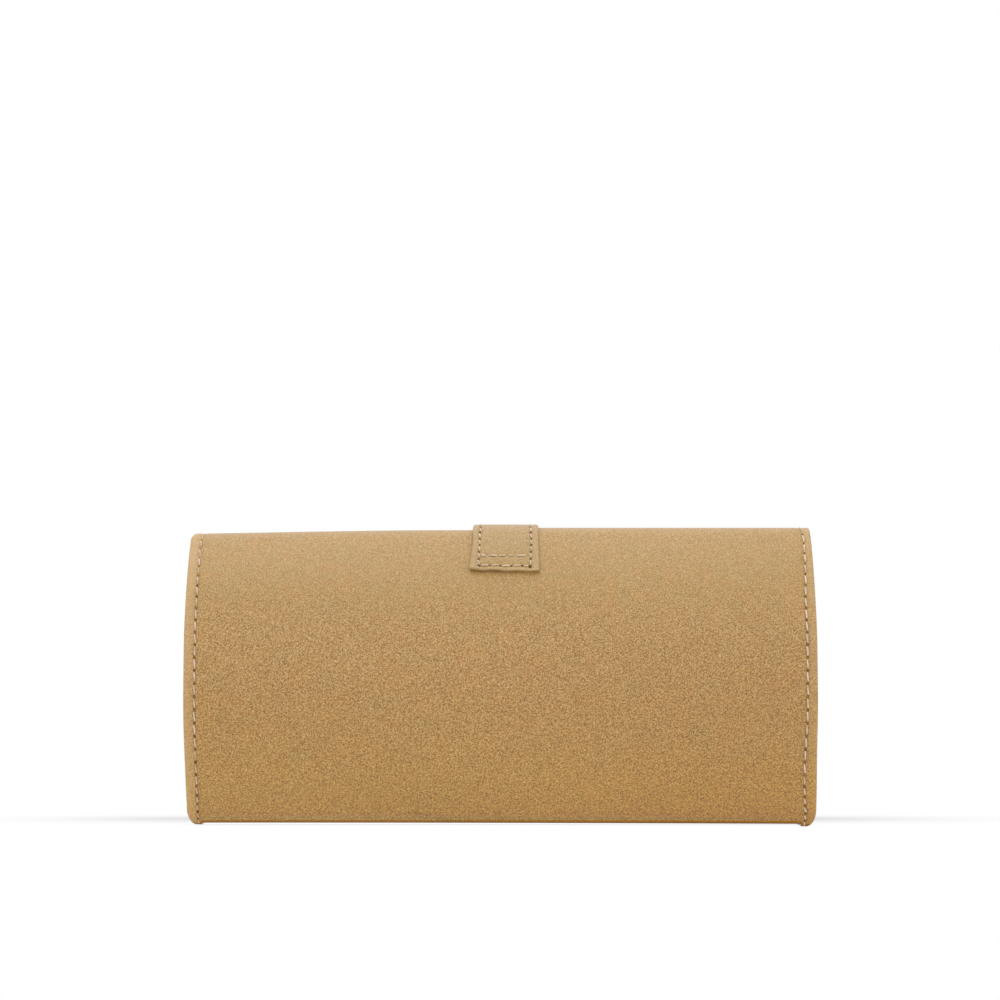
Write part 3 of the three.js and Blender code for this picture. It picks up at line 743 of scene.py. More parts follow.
def needle_hole_shade(name):
    # Painted shade: the dark inside of a needle hole, on small discs over the holes.
    material, tree, shader = new_material(name, Roughness=0.95, Specular_IOR_Level=0.05)
    flat = attribute(tree, "flat").outputs["Vector"]
    depth = noise(tree, flat, 0.7, 2, 0.5)
    colour = mix(tree, remap(tree, depth, 0.35, 0.65, 0, 1), (0.15, 0.07, 0.022), (0.3, 0.16, 0.06))
    tree.links.new(colour, shader.inputs["Base Color"])
    return material


def satin_brass(name, tone, dull):
    """Brushed plated brass, duller in patches where it has been handled."""
    material, tree, shader = new_material(name, Metallic=1.0, Roughness=0.3)
    place = add_node(tree, "TexCoord").outputs["Object"]
    brushed = add_node(tree, "Mapping", {"Vector": place, "Scale": (900, 9000, 9000)})
    lines = noise(tree, brushed.outputs["Vector"], 1.0, 3, 0.6)
    haze = noise(tree, place, 260.0, 3, 0.6)
    colour = mix(tree, remap(tree, haze, 0.35, 0.7, 0, 0.7), tone, dull)
    tree.links.new(colour, shader.inputs["Base Color"])
    rough = remap(tree, lines, 0.3, 0.7, 0.22, 0.42)
    patchy = remap(tree, haze, 0.3, 0.7, 0.24, 0.45)
    tree.links.new(mix(tree, 0.5, rough, patchy), shader.inputs["Roughness"])
    add_bump(tree, shader, lines, 0.12, 0.02)
    return material


TANS = (0.436, 0.212, 0.022), (0.378, 0.216, 0.034)
OUTSIDE = nubuck("outside_nubuck", *TANS)
SHELL = nubuck("shell_nubuck", *TANS, fold_shade=0.75)
# The fold under the base: painted shade, with its sheen and specular turned down to keep it dark.
SHADED_FOLD = nubuck("shaded_fold_nubuck", *TANS, fold_shade=0.75, sheen=0.02, specular=0.1)
STRAP_LEATHER = nubuck("strap_nubuck", (0.4, 0.228, 0.045), (0.385, 0.228, 0.05), speckle=0.45)
POCKET = smooth_leather("pocket_leather", (0.46, 0.275, 0.108), (0.36, 0.2, 0.072))
SUEDE = microsuede("lining_microsuede", (0.6, 0.456, 0.262), (0.47, 0.34, 0.18))
STIFFENER = fibre_board("stiffener_board", (0.159, 0.115, 0.076))
TAPE_CLOTH = herringbone_tape("zip_tape_weave", (0.5, 0.34, 0.17), (0.33, 0.21, 0.1))
THREAD = waxed_thread("cream_thread", (0.8, 0.64, 0.5), (0.5, 0.34, 0.19))
HOLE_SHADE = needle_hole_shade("needle_hole_shade")
BRASS = satin_brass("satin_brass", (0.72, 0.49, 0.19), (0.52, 0.35, 0.14))


# ---------------------------------------------------------------- baking pieces in place, and shared sheet shapes


def over_ridge(piece):
    start, end = ((0, (RIDGE_Y + side * RIDGE_BEND) * MM, 0) for side in (1, -1))
    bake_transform(piece)
    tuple(start)
    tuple(end)


def over_front_foot(piece):
    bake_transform(piece)


def over_gusset(piece):
    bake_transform(piece)


def corner_span(half, end, corner):
    """A strip's left and right where its far end has round corners."""

    def span(s):
        from_end = np.clip(end - s, 0, corner)
        cut = corner - np.sqrt(np.maximum(0, corner**2 - (corner - from_end) ** 2))
        return -half + cut, half - cut

    return span


def rectangle(name, node, place, rows, bounds, half, step, depths, look, slot, roll,
              centre=0.0):
    """A rectangular sheet that lies on another piece and stands for a node. rows are its rows of
    corners and bounds its two ends, and half is half its width."""
    start, stop = bounds
    piece = slab(
        name, place, rows, insets(2 * half, RIM_FINE, step),
        lambda s: (np.full(s.shape, centre - half), np.full(s.shape, centre + half)),
        depths, look, slot, lambda x, s: outline_distance(x, s, half, start, stop, 0, centre),
        roll=(roll, min(roll, 0.4)),
    )
    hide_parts(node)
    return piece


# ---------------------------------------------------------------- the outer leather


def shell():
    """One piece of leather from the fold under the base, up the back, over the top and down the
    flap, stitched along both ends and round the flap's edge."""
    line = back.reversed().then(flap_outer.cut(0, FLAP_LENGTH))
    ridge = back.length
    end = ridge + FLAP_LENGTH
    flap_even = ridge + 16

    def half_at(s):
        return HALF_WIDTH - FLAP_INSET * ramp(s, ridge - 1, flap_even)

    def span(s):
        left, right = corner_span(0, end, FLAP_CORNER)(s)
        return left - half_at(s), right + half_at(s)

    def edge(x, s):
        return outline_distance(x, s, half_at(s), 0, end, FLAP_CORNER)

    seam_x = HALF_WIDTH - SEAM_INSET
    turn = FLAP_CORNER - SEAM_INSET
    side = [(seam_x, 1.5), (seam_x, ridge - 1), (seam_x - FLAP_INSET, flap_even)]
    quarter = quarter_turn(seam_x - FLAP_INSET - turn, end - FLAP_CORNER, turn, 12)
    right_run = along([*side, *quarter, (0, end - SEAM_INSET)], SHELL_PITCH, TIGHT_STRETCH)
    wander_s = [*(back.length - back.distance_at(z) for z in WANDER_HEIGHTS), ridge, flap_even]

    def wander(x, s):
        """How much further in than even the seam along the -X end is sewn."""
        return np.where(x < 0, np.interp(s, wander_s, WANDER), 0.0)

    left_run = right_run * [-1, 1]
    left_run[:, 0] += wander(left_run[:, 0], left_run[:, 1])
    dimples = punched(np.concatenate([right_run, left_run]))
    crease = back.length - back.distance_at(2.7)

    def relief(x, s, inside):
        off_line = inside - SEAM_INSET - wander(x, s)
        groove = GROOVE_DEPTH * np.exp(-((off_line / GROOVE_WIDTH) ** 2)) * ramp(s, 1, 6)
        furrow = 0.13 * np.exp(-(((s - crease + 0.9) / 0.5) ** 2))
        lip = 0.22 * np.exp(-(((s - crease) / 0.55) ** 2))
        pressed = (furrow - lip) * ramp(HALF_WIDTH - np.abs(x), 4, 7)
        return groove + pressed + dimples(x, s, inside)

    def inner(s):
        return LEATHER + (FLAP_LEATHER - LEATHER) * ramp(s, ridge - 10, ridge + 10)

    piece = slab(
        "back_and_flap_leather", line.at, rows_between(0, end, SEAM_PITCH / 6, FLAP_CORNER),
        insets(2 * HALF_WIDTH, SEAM_FINE, 2.4), span, (0, inner), SHELL, "nubuck", edge, relief,
        roll=(0.65, 0.5),
    )
    # Faces within that width of the fold's edge take the painted-shade fold material.
    piece.data.materials.append(SHADED_FOLD)
    flat = np.empty(3 * len(piece.data.vertices), np.float32)
    piece.data.attributes["flat"].data.foreach_get("vector", flat)
    for face in piece.data.polygons:
        face.material_index = int(flat[3 * face.vertices[0] + 1] < SHADED_FOLD_WIDTH)
    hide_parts("back_panel", "flap_panel")
    over_ridge(piece)

    def on_face(x, s, lift):
        inside = outline_distance(x, s, half_at(s), -9, end, FLAP_CORNER)
        return to_frame(x, *line.at(s, relief(x, s, inside) * 0.8 - lift))

    # The holes shrink towards the top, and the thread is pulled thin over it.
    for name, run, full, small in (
        ("right", right_run, 0.23, 0.24), ("left", left_run, 0.32, 0.42),
    ):
        def hole(place, small=small):
            return 0.62 + (small - 0.62) * ramp(place[1], ridge - 34, ridge - 12)

        def radius(place, full=full):
            return full * (1 - 0.5 * ramp(abs(place[1] - ridge), 12, 4))

        for part in stitches(f"shell_stitches_{name}", on_face, [run], radius, hole=hole):
            over_ridge(part)


def back_backing():
    """The back's board, the flap's board, and the lining that covers both in one piece."""
    top = back.distance_at(RIDGE_HEIGHT - 4)
    foot = back.distance_at(FLOOR_CLEARANCE)
    board_depth = LEATHER + GAP
    board = rectangle(
        "back_stiffener", "back_board", back.at, rows_between(top, foot, 3), (top, foot),
        LINING_HALF, 6, (board_depth, board_depth + BOARD), STIFFENER, "board", 0.3,
    )
    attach(board, "root")

    flap_inner = front.moved(FLAP_LEATHER - FLAP_STAND_OFF + BOARD + 2 * GAP)
    flap_start = front.distance_at(FLAP_EDGE_HEIGHT)
    inner_length = float(np.interp(flap_start, front.distance, flap_inner.distance)) - 1
    lining_back = back.moved(LEATHER + BOARD + 2 * GAP)
    lining_foot = float(np.interp(foot, back.distance, lining_back.distance))
    line = lining_back.cut(0, lining_foot).reversed().then(flap_inner.cut(0, inner_length))
    end = line.length
    corner = FLAP_CORNER - 1
    ridge = end - inner_length

    def half_at(s):
        return LINING_HALF + (FLAP_HALF - 1 - LINING_HALF) * ramp(s, ridge - 4, ridge + 8)

    def span(s):
        left, right = corner_span(0, end, corner)(s)
        return left - half_at(s), right + half_at(s)

    lining = slab(
        "back_and_flap_lining", line.at, rows_between(0, end, 1.5, corner),
        insets(2 * LINING_HALF, RIM_FINE, 4), span, (0, LINING), SUEDE, "lining",
        lambda x, s: outline_distance(x, s, half_at(s), 0, end, corner), roll=(0.5, 0.4),
    )
    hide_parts("back_lining", "flap_lining")
    over_ridge(lining)

    inset = 4
    start, stop = 5, flap_start - inset
    half, corner = FLAP_HALF - inset, FLAP_CORNER - inset
    depth = FLAP_LEATHER - FLAP_STAND_OFF + GAP
    flap_board = slab(
        "flap_stiffener", front.at, rows_between(start, stop, 3, corner),
        insets(2 * LINING_HALF, RIM_FINE, 6), corner_span(half, stop, corner),
        (depth, depth + BOARD), STIFFENER, "board",
        lambda x, s: outline_distance(x, s, half, start, stop, corner), roll=(0.3, 0.3),
    )
    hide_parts("flap_board")
    over_ridge(flap_board)


def front_and_base():
    """The front wall and base in one piece of leather, with the front's board, lining and pocket."""
    mouth = front.distance_at(MOUTH_HEIGHT)
    base_end = BACK_FOOT - FOLD_RUN - 0.02
    floor_points = [(y, 0.0) for y in np.linspace(-(FRONT_FOOT - FOLD_RUN), base_end, 20)]
    floor_line = Line(floor_points, np.tile([0.0, 1.0], (20, 1)))
    wall = front.cut(mouth, front.length)
    line = wall.then(floor_line)
    end = line.length

    def half_at(s):
        return HALF_WIDTH - 1.0 * ramp(s, wall.length - 2, wall.length + 4)

    def span(s):
        return -half_at(s), half_at(s)

    def edge(x, s):
        return outline_distance(x, s, half_at(s), 0, end)

    seam_x = HALF_WIDTH - SEAM_INSET
    run = along([(seam_x, SEAM_INSET), (seam_x, wall.length - 3)], SEAM_PITCH)
    mouth_run = along([(-seam_x, SEAM_INSET), (seam_x, SEAM_INSET)], SEAM_PITCH)
    runs = [run, run * [-1, 1], mouth_run]
    dimples = punched(np.concatenate(runs))

    def relief(x, s, inside):
        groove = GROOVE_DEPTH * np.exp(-(((inside - SEAM_INSET) / GROOVE_WIDTH) ** 2))
        return groove * ramp(s, wall.length, wall.length - 4) + dimples(x, s, inside)

    leather = slab(
        "base_and_front_leather", line.at, rows_between(0, end, SEAM_PITCH / 5),
        insets(2 * HALF_WIDTH, SEAM_FINE, 3.2), span, (0, FLAP_LEATHER), OUTSIDE, "nubuck", edge,
        relief, roll=(1.4, 0.6),
    )
    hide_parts("front_panel", "base_panel")
    over_front_foot(leather)

    def on_face(x, s, lift):
        return to_frame(x, *line.at(s, relief(x, s, edge(x, s)) * 0.8 - lift))

    for part in stitches("front_stitches", on_face, runs, 0.28):
        over_front_foot(part)

    foot = front.distance_at(FLOOR_CLEARANCE)
    layers = (
        ("front_stiffener", mouth + 1, foot, FLAP_LEATHER + GAP, BOARD, LINING_HALF, STIFFENER,
         "board", "front_board"),
        ("front_lining_cloth", mouth, foot, FLAP_LEATHER + BOARD + 2 * GAP, LINING, LINING_HALF,
         SUEDE, "lining", "front_lining"),
        ("front_slip_pocket_leather", front.distance_at(SLIP_POCKET_TOP),
         front.distance_at(POCKET_FOOT), FLAP_LEATHER + BOARD + LINING + 3 * GAP, LINING,
         CARD_POCKET_SPAN[1], POCKET, "pocket_leather", "front_slip_pocket"),
    )
    for name, start, stop, depth, thick, half, look, slot, node in layers:
        piece = rectangle(
            name, node, front.at, rows_between(start, stop, 2.5), (start, stop), half, 5,
            (depth, depth + thick), look, slot, 0.4,
        )
        over_front_foot(piece)


def base_backing():
    """The base's board and lining, flat inside the fold."""
    low, high = -(FRONT_FOOT - FOLD_RUN - GAP), BACK_FOOT - FOLD_RUN - GAP
    for name, bottom, thick, look, slot, node in (
        ("base_stiffener", LEATHER + GAP, BOARD, STIFFENER, "board", "base_board"),
        ("base_lining_cloth", LEATHER + BOARD + 2 * GAP, LINING, SUEDE, "lining", "base_lining"),
    ):
        piece = rectangle(
            name, node, lambda s, depth: (s, bottom + thick - depth), rows_between(low, high, 2),
            (low, high), BASE_BACKING_HALF, 6, (0, thick), look, slot, 0.4,
        )
        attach(piece, "root")


def gusset(name, end):
    """A bellows of leather between the panels' ends, folded inwards along its middle."""
    rows = 56
    share = np.linspace(0, 1, rows)
    back_s = back.distance_at(MOUTH_HEIGHT) * (1 - share) + back.distance_at(2.6) * share
    front_s = front.distance_at(MOUTH_HEIGHT - 2) * (1 - share) + front.distance_at(2.6) * share
    fold_z = GUSSET_FOLD_TOP * (1 - share) + 2.4 * share
    middle = (LEATHER + GUSSET_LEATHER / 2 + GAP / 2, FLAP_LEATHER + GUSSET_LEATHER / 2 + GAP / 2)
    back_y, back_z = back.at(back_s, middle[0])
    front_y, front_z = front.at(front_s, middle[1])
    sag = 1.2 * np.sin(share * math.pi)
    fold_x = GUSSET_FOLD_X + 1.5 - sag
    paths = []
    for i in range(rows):
        back_edge, front_edge = (back_y[i], back_z[i]), (front_y[i], front_z[i])
        fold, fold_height = fold_x[i], fold_z[i]
        between_x = (GUSSET_SEAM_X + fold) / 2
        knots = [
            (HALF_WIDTH - 0.5, *back_edge), (GUSSET_SEAM_X + 2, *back_edge),
            (GUSSET_SEAM_X, back_y[i] - 0.7, back_z[i]),
            (between_x, (back_y[i] + DIVIDER_Y) / 2 + 0.9, (back_z[i] + fold_height) / 2),
            (fold + 0.5, DIVIDER_Y + 1.0, fold_height), (fold, DIVIDER_Y, fold_height),
            (fold + 0.5, DIVIDER_Y - 1.0, fold_height),
            (between_x, (front_y[i] + DIVIDER_Y) / 2 - 0.9, (front_z[i] + fold_height) / 2),
            (GUSSET_SEAM_X, front_y[i] + 0.7, front_z[i]),
            (GUSSET_SEAM_X + 2, *front_edge), (HALF_WIDTH - 0.5, *front_edge),
        ]
        paths.append(catmull_rom(knots, 5))
    centre = np.array(paths)
    along_path = np.gradient(centre, axis=1)
    down = np.gradient(centre, axis=0)
    normal = np.cross(along_path, down)
    normal /= np.linalg.norm(normal, axis=2)[:, :, None]
    step = np.linalg.norm(np.diff(centre, axis=1), axis=2)
    run = np.concatenate([np.zeros((rows, 1)), np.cumsum(step, axis=1)], axis=1)
    drop = np.broadcast_to((share * GUSSET_DROP)[:, None], run.shape)
    inside = np.minimum(np.minimum(run, run[:, -1:] - run), drop)
    half = (GUSSET_LEATHER / 2) * (1 - 0.55 * ramp(inside, 0.8, 0.0))
    layers = []
    for face in (1, -1):
        p = centre + face * half[:, :, None] * normal
        layers.append(to_frame(end * p[:, :, 0], p[:, :, 1], p[:, :, 2]))
    flats = [np.stack([run, drop, np.full(run.shape, 7.0 * k)], -1) for k in (1, 2)]
    piece = closed_sheet(name, layers, flats, inside, OUTSIDE, "nubuck")
    side = "left" if end < 0 else "right"
    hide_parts(f"gusset_{side}_back", f"gusset_{side}_front")
    over_gusset(piece)


# ---------------------------------------------------------------- the strap and its snap


def strap_upper():
    """The sewn stretch of the strap: a tab on the back, over the ridge, and a bridge on the flap."""
    on_back = back.moved(-0.02)
    tab = float(np.interp(TAB_LENGTH, back.distance, on_back.distance))
    on_front = front.moved(-FLAP_STAND_OFF - 0.02)
    bridge = on_moved(BRIDGE_LENGTH + GAP / 2, -FLAP_STAND_OFF - 0.02)
    line = on_back.cut(0, tab).reversed().then(on_front.cut(0, bridge))
    end = line.length
    middle = (STRAP_LEFT + STRAP_RIGHT) / 2

    def bounds_at(s):
        down = tab - s
        right = STRAP_RIGHT + 1.2 * ramp(down, -8, 5) + 1.1 * ramp(down, 10, tab)
        left = STRAP_LEFT - 0.3 * ramp(down, 8, tab)
        return left, right

    def edge(x, s):
        left, right = bounds_at(s)
        return outline_distance(x, s, (right - left) / 2, 0, end + 9, 0, (left + right) / 2)

    def place(s, depth, x):
        skewed = s + (0.045 * (x - middle) + 0.13 * np.sin(0.75 * x)) * ramp(s, 3.5, 0)
        return line.at(skewed, depth - (0.26 + 0.1 * np.sin(0.9 * x)) * ramp(s, 3, 0))

    # The sewn box: a column of stitches at each side, two rows across, and the thread's loose end.
    column_right, column_left = 6.9, -9.9
    row_low, row_high = 1.9, 6.0
    bend, last = row_high + 6, end - 0.6
    right_column = along([(7.3, row_low), (column_right, bend), (6.6, tab), (5.6, last)], 2.9)
    left_column = along([(-9.8, row_low), (-10.1, bend), (-9.8, tab), (-10.1, last)], 2.9)
    lower = np.array([(x, row_low) for x in (7.0, 3.5, 0.0, -3.6, -7.1, -9.6)])
    upper = np.array([(x, row_high) for x in (6.7, 4.6, 0.8, -2.1, -4.6, -8.8)])
    tail_places = ((1.1, 1.3), (0.6, 0.2), (0.6, -1.6))
    tail = along([(column_right + x, row_low + s) for x, s in tail_places], 1.6)
    dimples = punched(np.concatenate([right_column, left_column, lower]), 0.3, 0.6)

    def relief(x, s, inside):
        rows = sum(0.12 * np.exp(-(((s - r) / 0.6) ** 2)) for r in (row_low, row_high))
        columns = sum(0.12 * np.exp(-(((x - c) / 0.6) ** 2)) for c in (column_right, column_left))
        half = (STRAP_RIGHT - STRAP_LEFT) / 2 + 0.6
        inset = outline_distance(x, s, half, 0, end + 9, 0, middle + 0.4)
        crease = 0.16 * np.exp(-(((inset - 0.95) / 0.28) ** 2)) * ramp(s, tab, tab - 8)
        return rows * ramp(np.abs(x - middle), 9, 8) + columns + crease + dimples(x, s, inside)

    across = insets(STRAP_RIGHT - STRAP_LEFT, (0, 0.12, 0.3, 0.6, 1.0, 1.5, 2.0, 2.5, 3.0), 0.6)
    rim = 1.2
    near = rim * np.array([0, 0.1, 0.25, 0.45, 0.7, 1])
    rows = np.concatenate([near, np.linspace(rim, end, round(end / 0.5))[1:]])
    left, right = bounds_at(rows[:, None])
    corners_x = left + (right - left) * across
    piece = slab(
        "strap_upper", lambda s, depth: place(s, depth, corners_x), rows, across, bounds_at,
        (-SEWN_THICKNESS, 0), STRAP_LEATHER, "nubuck", edge, relief, roll=(1.0, 0.4), stiff=True,
    )
    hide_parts("strap_tab", "strap_bridge")
    over_ridge(piece)

    def on_face(x, s, lift):
        depth = -SEWN_THICKNESS + 0.8 * relief(x, s, None) - lift
        return to_frame(x, *place(s, depth, x), stiff=True)

    for name, runs, sizes in (
        ("strap_upper_stitches", [right_column, left_column, lower], (0.26, 0.35, 0.5, 0.58)),
        ("strap_box_stitches", [upper, tail], (0.25, 0.1, 0.3, 0.12)),
    ):
        for part in stitches(name, on_face, runs, *sizes):
            over_ridge(part)


def strap_lower():
    """The free end of the strap: leather over a suede backing, with a round tip and edge stitches."""
    line = strap_line()
    end = line.length
    half = (STRAP_RIGHT - STRAP_LEFT) / 2
    middle = (STRAP_RIGHT + STRAP_LEFT) / 2
    tip = half - 0.6

    def span(s):
        left, right = corner_span(half, end, tip)(s)
        return left + middle, right + middle

    def edge(x, s):
        return outline_distance(x, s, half, -9, end, tip, middle)

    seam = 2.4
    quarter = quarter_turn(half - tip, end - tip, tip - seam, 10)
    run = along([(half - seam, 0.6), *quarter, (0, end - seam)], 3.0)
    runs = [run + [middle, 0], run * [-1, 1] + [middle, 0]]
    dimples = punched(np.concatenate(runs), 0.25, 0.6)

    def relief(x, s, inside):
        groove = 0.14 * np.exp(-(((inside - seam) / 0.6) ** 2))
        return groove + dimples(x, s, inside)

    def outer(s):
        return -STRAP_BACKING - GAP - STRAP_THICKNESS + 1.87 * ramp(s, 13, 0)

    def inner(s):
        return -STRAP_BACKING - 0.12 + 1.22 * ramp(s, 9, 0)

    def rows_from(start, count, tip_count):
        straight = np.linspace(start, end - tip, count)[:-1]
        return np.concatenate([straight, end - tip + tip * np.sin(np.linspace(0, math.pi / 2, tip_count))])

    across = insets(2 * half, (0, 0.12, 0.3, 0.6, 1.0, 1.4, 1.8, 2.2, 2.6, 3.1), 0.8)
    leather = slab(
        "strap_lower", line.at, rows_from(0, round((end - tip) / 0.6), 24), across, span,
        (outer, inner), STRAP_LEATHER, "nubuck", edge, relief, roll=(1.0, 0.4), stiff=True,
    )
    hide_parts("strap_end")
    start = 7.0
    backing = slab(
        "strap_suede_backing", line.at, rows_from(start, 60, 20), insets(2 * half, RIM_FINE, 2),
        span, (-STRAP_BACKING, 0), SUEDE, "lining", edge, roll=(0.4, 0.4), stiff=True,
    )
    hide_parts("strap_backing")

    def on_face(x, s, lift):
        depth = outer(s) + 0.8 * relief(x, s, edge(x, s)) - lift
        return to_frame(x, *line.at(s, depth), stiff=True)

    threads = stitches("strap_lower_stitches", on_face, runs, 0.25, 0.3, 0.45, 0.5)
    top_y, top_z = line.at(0.0)
    low_y, low_z = line.at(STRAP_BEND)
    for part in (leather, backing, *threads):
        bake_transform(part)


def metal_piece(name, places, faces, body, node, sharp=50):
    """A closed brass piece from corners in millimetres, with y measured from under the ridge."""
    vertices = (places + [0, RIDGE_Y, 0]) * MM
    piece = new_piece(name, vertices, facing_out(vertices, faces), BRASS, "brass", sharp=sharp)
    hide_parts(node)
    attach(piece, body)


def turned(name, profile, origin, axis, body, node):
    """A round piece from (radius, height) points along an axis in the section, at mid-strap."""
    segments = 64
    profile = np.array(profile, float)
    angles = np.linspace(0, 2 * math.pi, segments, endpoint=False)
    axis_y, axis_z = axis
    centre_x = (STRAP_LEFT + STRAP_RIGHT) / 2
    rings = []
    for radius, height in profile:
        up = radius * np.sin(angles)
        y = origin[0] + height * axis_y - up * axis_z
        z = origin[1] + height * axis_z + up * axis_y
        rings.append(np.stack([centre_x + radius * np.cos(angles), y, z], -1))
    faces = list(grid_faces(len(rings), segments, 0, close=True))
    if np.allclose(profile[0], profile[-1]):
        rings.pop()
        faces = [[corner % (len(rings) * segments) for corner in face] for face in faces]
    else:
        last = (len(rings) - 1) * segments
        faces += [range(segments)[::-1], range(last, last + segments)]
    metal_piece(name, np.concatenate(rings), faces, body, node)


def snap():
    """Stud and post on the front, socket and cap on the strap."""
    where = front.distance_at(SNAP_HEIGHT)
    base = np.array(front.at(where))
    outward = np.array(front.at(where, -1.0)) - base
    stack = GAP + 0.5 + GAP
    turned("stud", [
        (0.01, 0), (4.6, 0), (5.0, 0.15), (5.0, 0.4), (4.4, 0.55), (2.5, 0.6), (2.1, 0.8), (2.1, 1.2),
        (2.5, 1.5), (2.6, 1.75), (2.45, 2.05), (2.0, 2.2), (0.01, 2.25),
    ], base + GAP * outward, outward, "front", "snap_stud")
    turned("socket", [
        (4.0, 0.2), (4.2, 0), (5.7, 0), (6.0, 0.25), (6.0, 1.2), (5.8, 1.4), (4.2, 1.4), (4.0, 1.2),
        (4.0, 0.2),
    ], base + stack * outward, outward, "strap", "snap_socket")
    cap_base = SNAP_STACK + STRAP_BACKING + GAP + STRAP_THICKNESS - 0.1
    radius = CAP_RADIUS
    dome = bezier([(radius, 0.75), (radius * 0.95, 1.45), (radius * 0.5, 2.35), (0.01, 2.4)], 16)
    turned(
        "cap", [(0.01, 0), (radius - 0.3, 0), (radius, 0.2), (radius, 0.6), *map(tuple, dome)],
        base + cap_base * outward, outward, "strap", "snap_cap",
    )
    post_depth = FLAP_LEATHER + BOARD + 2 * LINING + 4 * GAP
    turned("post", [
        (0.01, 0), (4.1, 0), (4.5, 0.15), (4.5, 0.5), (4.1, 0.75), (2.5, 0.8), (2.2, 0.6), (0.01, 0.55),
    ], base - post_depth * outward, -outward, "front", "snap_post")


# ---------------------------------------------------------------- pockets, coin divider and zip


def card_pockets():
    """Two columns of stepped card pockets with stitched mouths."""
    foot = back.distance_at(POCKET_FOOT)
    first = LEATHER + BOARD + LINING + 3 * GAP
    thick = LINING + 0.1
    for column, sign in (("left", -1), ("right", 1)):
        low, high = sorted(sign * x for x in CARD_POCKET_SPAN)
        for layer, top in enumerate(CARD_POCKET_TOPS):
            name = f"card_pocket_{column}_{layer + 1}"
            start = back.distance_at(top)
            depth = first + layer * (LINING + GAP)
            pocket = rectangle(
                f"{name}_leather", name, back.at, rows_between(start, foot, 2.5, rim=1.0),
                (start, foot), (high - low) / 2, 5, (depth, depth + thick), POCKET,
                "pocket_leather", 0.4, centre=(low + high) / 2,
            )

            def on_face(x, s, lift, face=depth + thick):
                return to_frame(x, *back.at(s, face + lift))

            run = along([(low + 1.5, start + 1.6), (high - 1.5, start + 1.6)], 2.6)
            threads = stitches(f"{name}_stitches", on_face, [run], 0.17, 0.15, 0.3, 0.2)
            for part in (pocket, *threads):
                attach(part, "root")


def coin_divider():
    """Two leather walls with the zip between them, and stitching along their top edges."""
    tape_half = ZIP_HALF + 6
    for name, side in (("front", -1), ("back", 1)):
        def upright(points, side=side):
            """A line from (distance from the divider's middle, height) points."""
            places = [(DIVIDER_Y + side * away, height) for away, height in points]
            return Line(places, np.tile([-float(side), 0.0], (len(places), 1)))

        # The walls' inner faces stand this far from the divider's middle, at the foot and the top.
        foot_inner, top_inner = 0.3, 1.8
        foot, top = foot_inner + DIVIDER_LEATHER, top_inner + DIVIDER_LEATHER
        line = upright([(foot, FLOOR_CLEARANCE), (top, DIVIDER_TOP)])
        wall = rectangle(
            f"coin_pocket_{name}_leather", f"coin_pocket_{name}", line.at,
            rows_between(0, line.length, 3), (0, line.length), DIVIDER_HALF, 5,
            (0, DIVIDER_LEATHER), POCKET, "pocket_leather", 0.7,
        )

        def on_face(x, s, lift, line=line):
            return to_frame(x, *line.at(s, -lift))

        seam = line.length - 2.2
        run = along([(-DIVIDER_HALF + 2, seam), (DIVIDER_HALF - 2, seam)], 3.0)
        threads = stitches(f"coin_pocket_{name}_stitches", on_face, [run], 0.2, 0.2, 0.3, 0.28)
        inner = top_inner - GAP
        tape_line = upright([
            (inner - 0.25, 54), (inner, DIVIDER_TOP - 1), (inner - 0.1, DIVIDER_TOP), (0.9, 66.9),
        ])
        tape = rectangle(
            f"zip_tape_{name}_cloth", f"zip_tape_{name}", tape_line.at,
            np.linspace(0, tape_line.length, 26), (0, tape_line.length), tape_half, 3, (0, 0.4),
            TAPE_CLOTH, "zip_tape", 0.2,
        )
        for part in (wall, *threads, tape):
            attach(part, "divider")


def rounded_block(size, bevel, steps=2):
    """Corners and faces of a block with rounded edges, centred on the origin."""
    mesh = bpy.data.meshes.new("block")
    x, y, z = (v / 2 for v in size)
    corners = [(i * x, j * y, k * z) for i in (-1, 1) for j in (-1, 1) for k in (-1, 1)]
    sides = [(0, 1, 3, 2), (4, 6, 7, 5), (0, 4, 5, 1), (2, 3, 7, 6), (0, 2, 6, 4), (1, 5, 7, 3)]
    mesh.from_pydata(corners, [], sides)
    holder = bpy.data.objects.new("block", mesh)
    bpy.context.scene.collection.objects.link(holder)
    modifier = holder.modifiers.new("round", "BEVEL")
    modifier.width = bevel
    modifier.segments = steps
    shaped = holder.evaluated_get(bpy.context.evaluated_depsgraph_get()).to_mesh()
    vertices = np.array([v.co for v in shaped.vertices])
    faces = [list(p.vertices) for p in shaped.polygons]
    bpy.data.objects.remove(holder)
    bpy.data.meshes.remove(mesh)
    return vertices, faces


def copies(name, vertices, faces, places, body, node):
    """One piece from many copies of a small mesh, in millimetres."""
    count = len(vertices)
    all_vertices = np.concatenate([vertices + place for place in places])
    all_faces = [[v + count * k for v in face] for k in range(len(places)) for face in faces]
    metal_piece(name, all_vertices, all_faces, body, node, sharp=60)


def zip_teeth():
    """Metal teeth, alternating from both tapes, with a stop at each end."""
    pitch = 1.5
    vertices, faces = rounded_block((0.85, 1.7, 1.4), 0.2)
    count = int(2 * ZIP_HALF / pitch)
    for name, side in (("front", -1), ("back", 1)):
        xs = -ZIP_HALF + pitch * (np.arange(count) + (0.25 if side > 0 else 0.75))
        places = [(x, DIVIDER_Y + side * 0.6, 67.7) for x in xs]
        copies(f"zip_teeth_{name}_metal", vertices, faces, places, "divider", f"zip_teeth_{name}")
    vertices, faces = rounded_block((2.0, 2.8, 1.9), 0.4, 3)
    for name, end in (("left", -1), ("right", 1)):
        place = [(end * (ZIP_HALF + GAP + 1), DIVIDER_Y, 67.85)]
        copies(f"zip_stop_{name}_metal", vertices, faces, place, "divider", f"zip_stop_{name}")


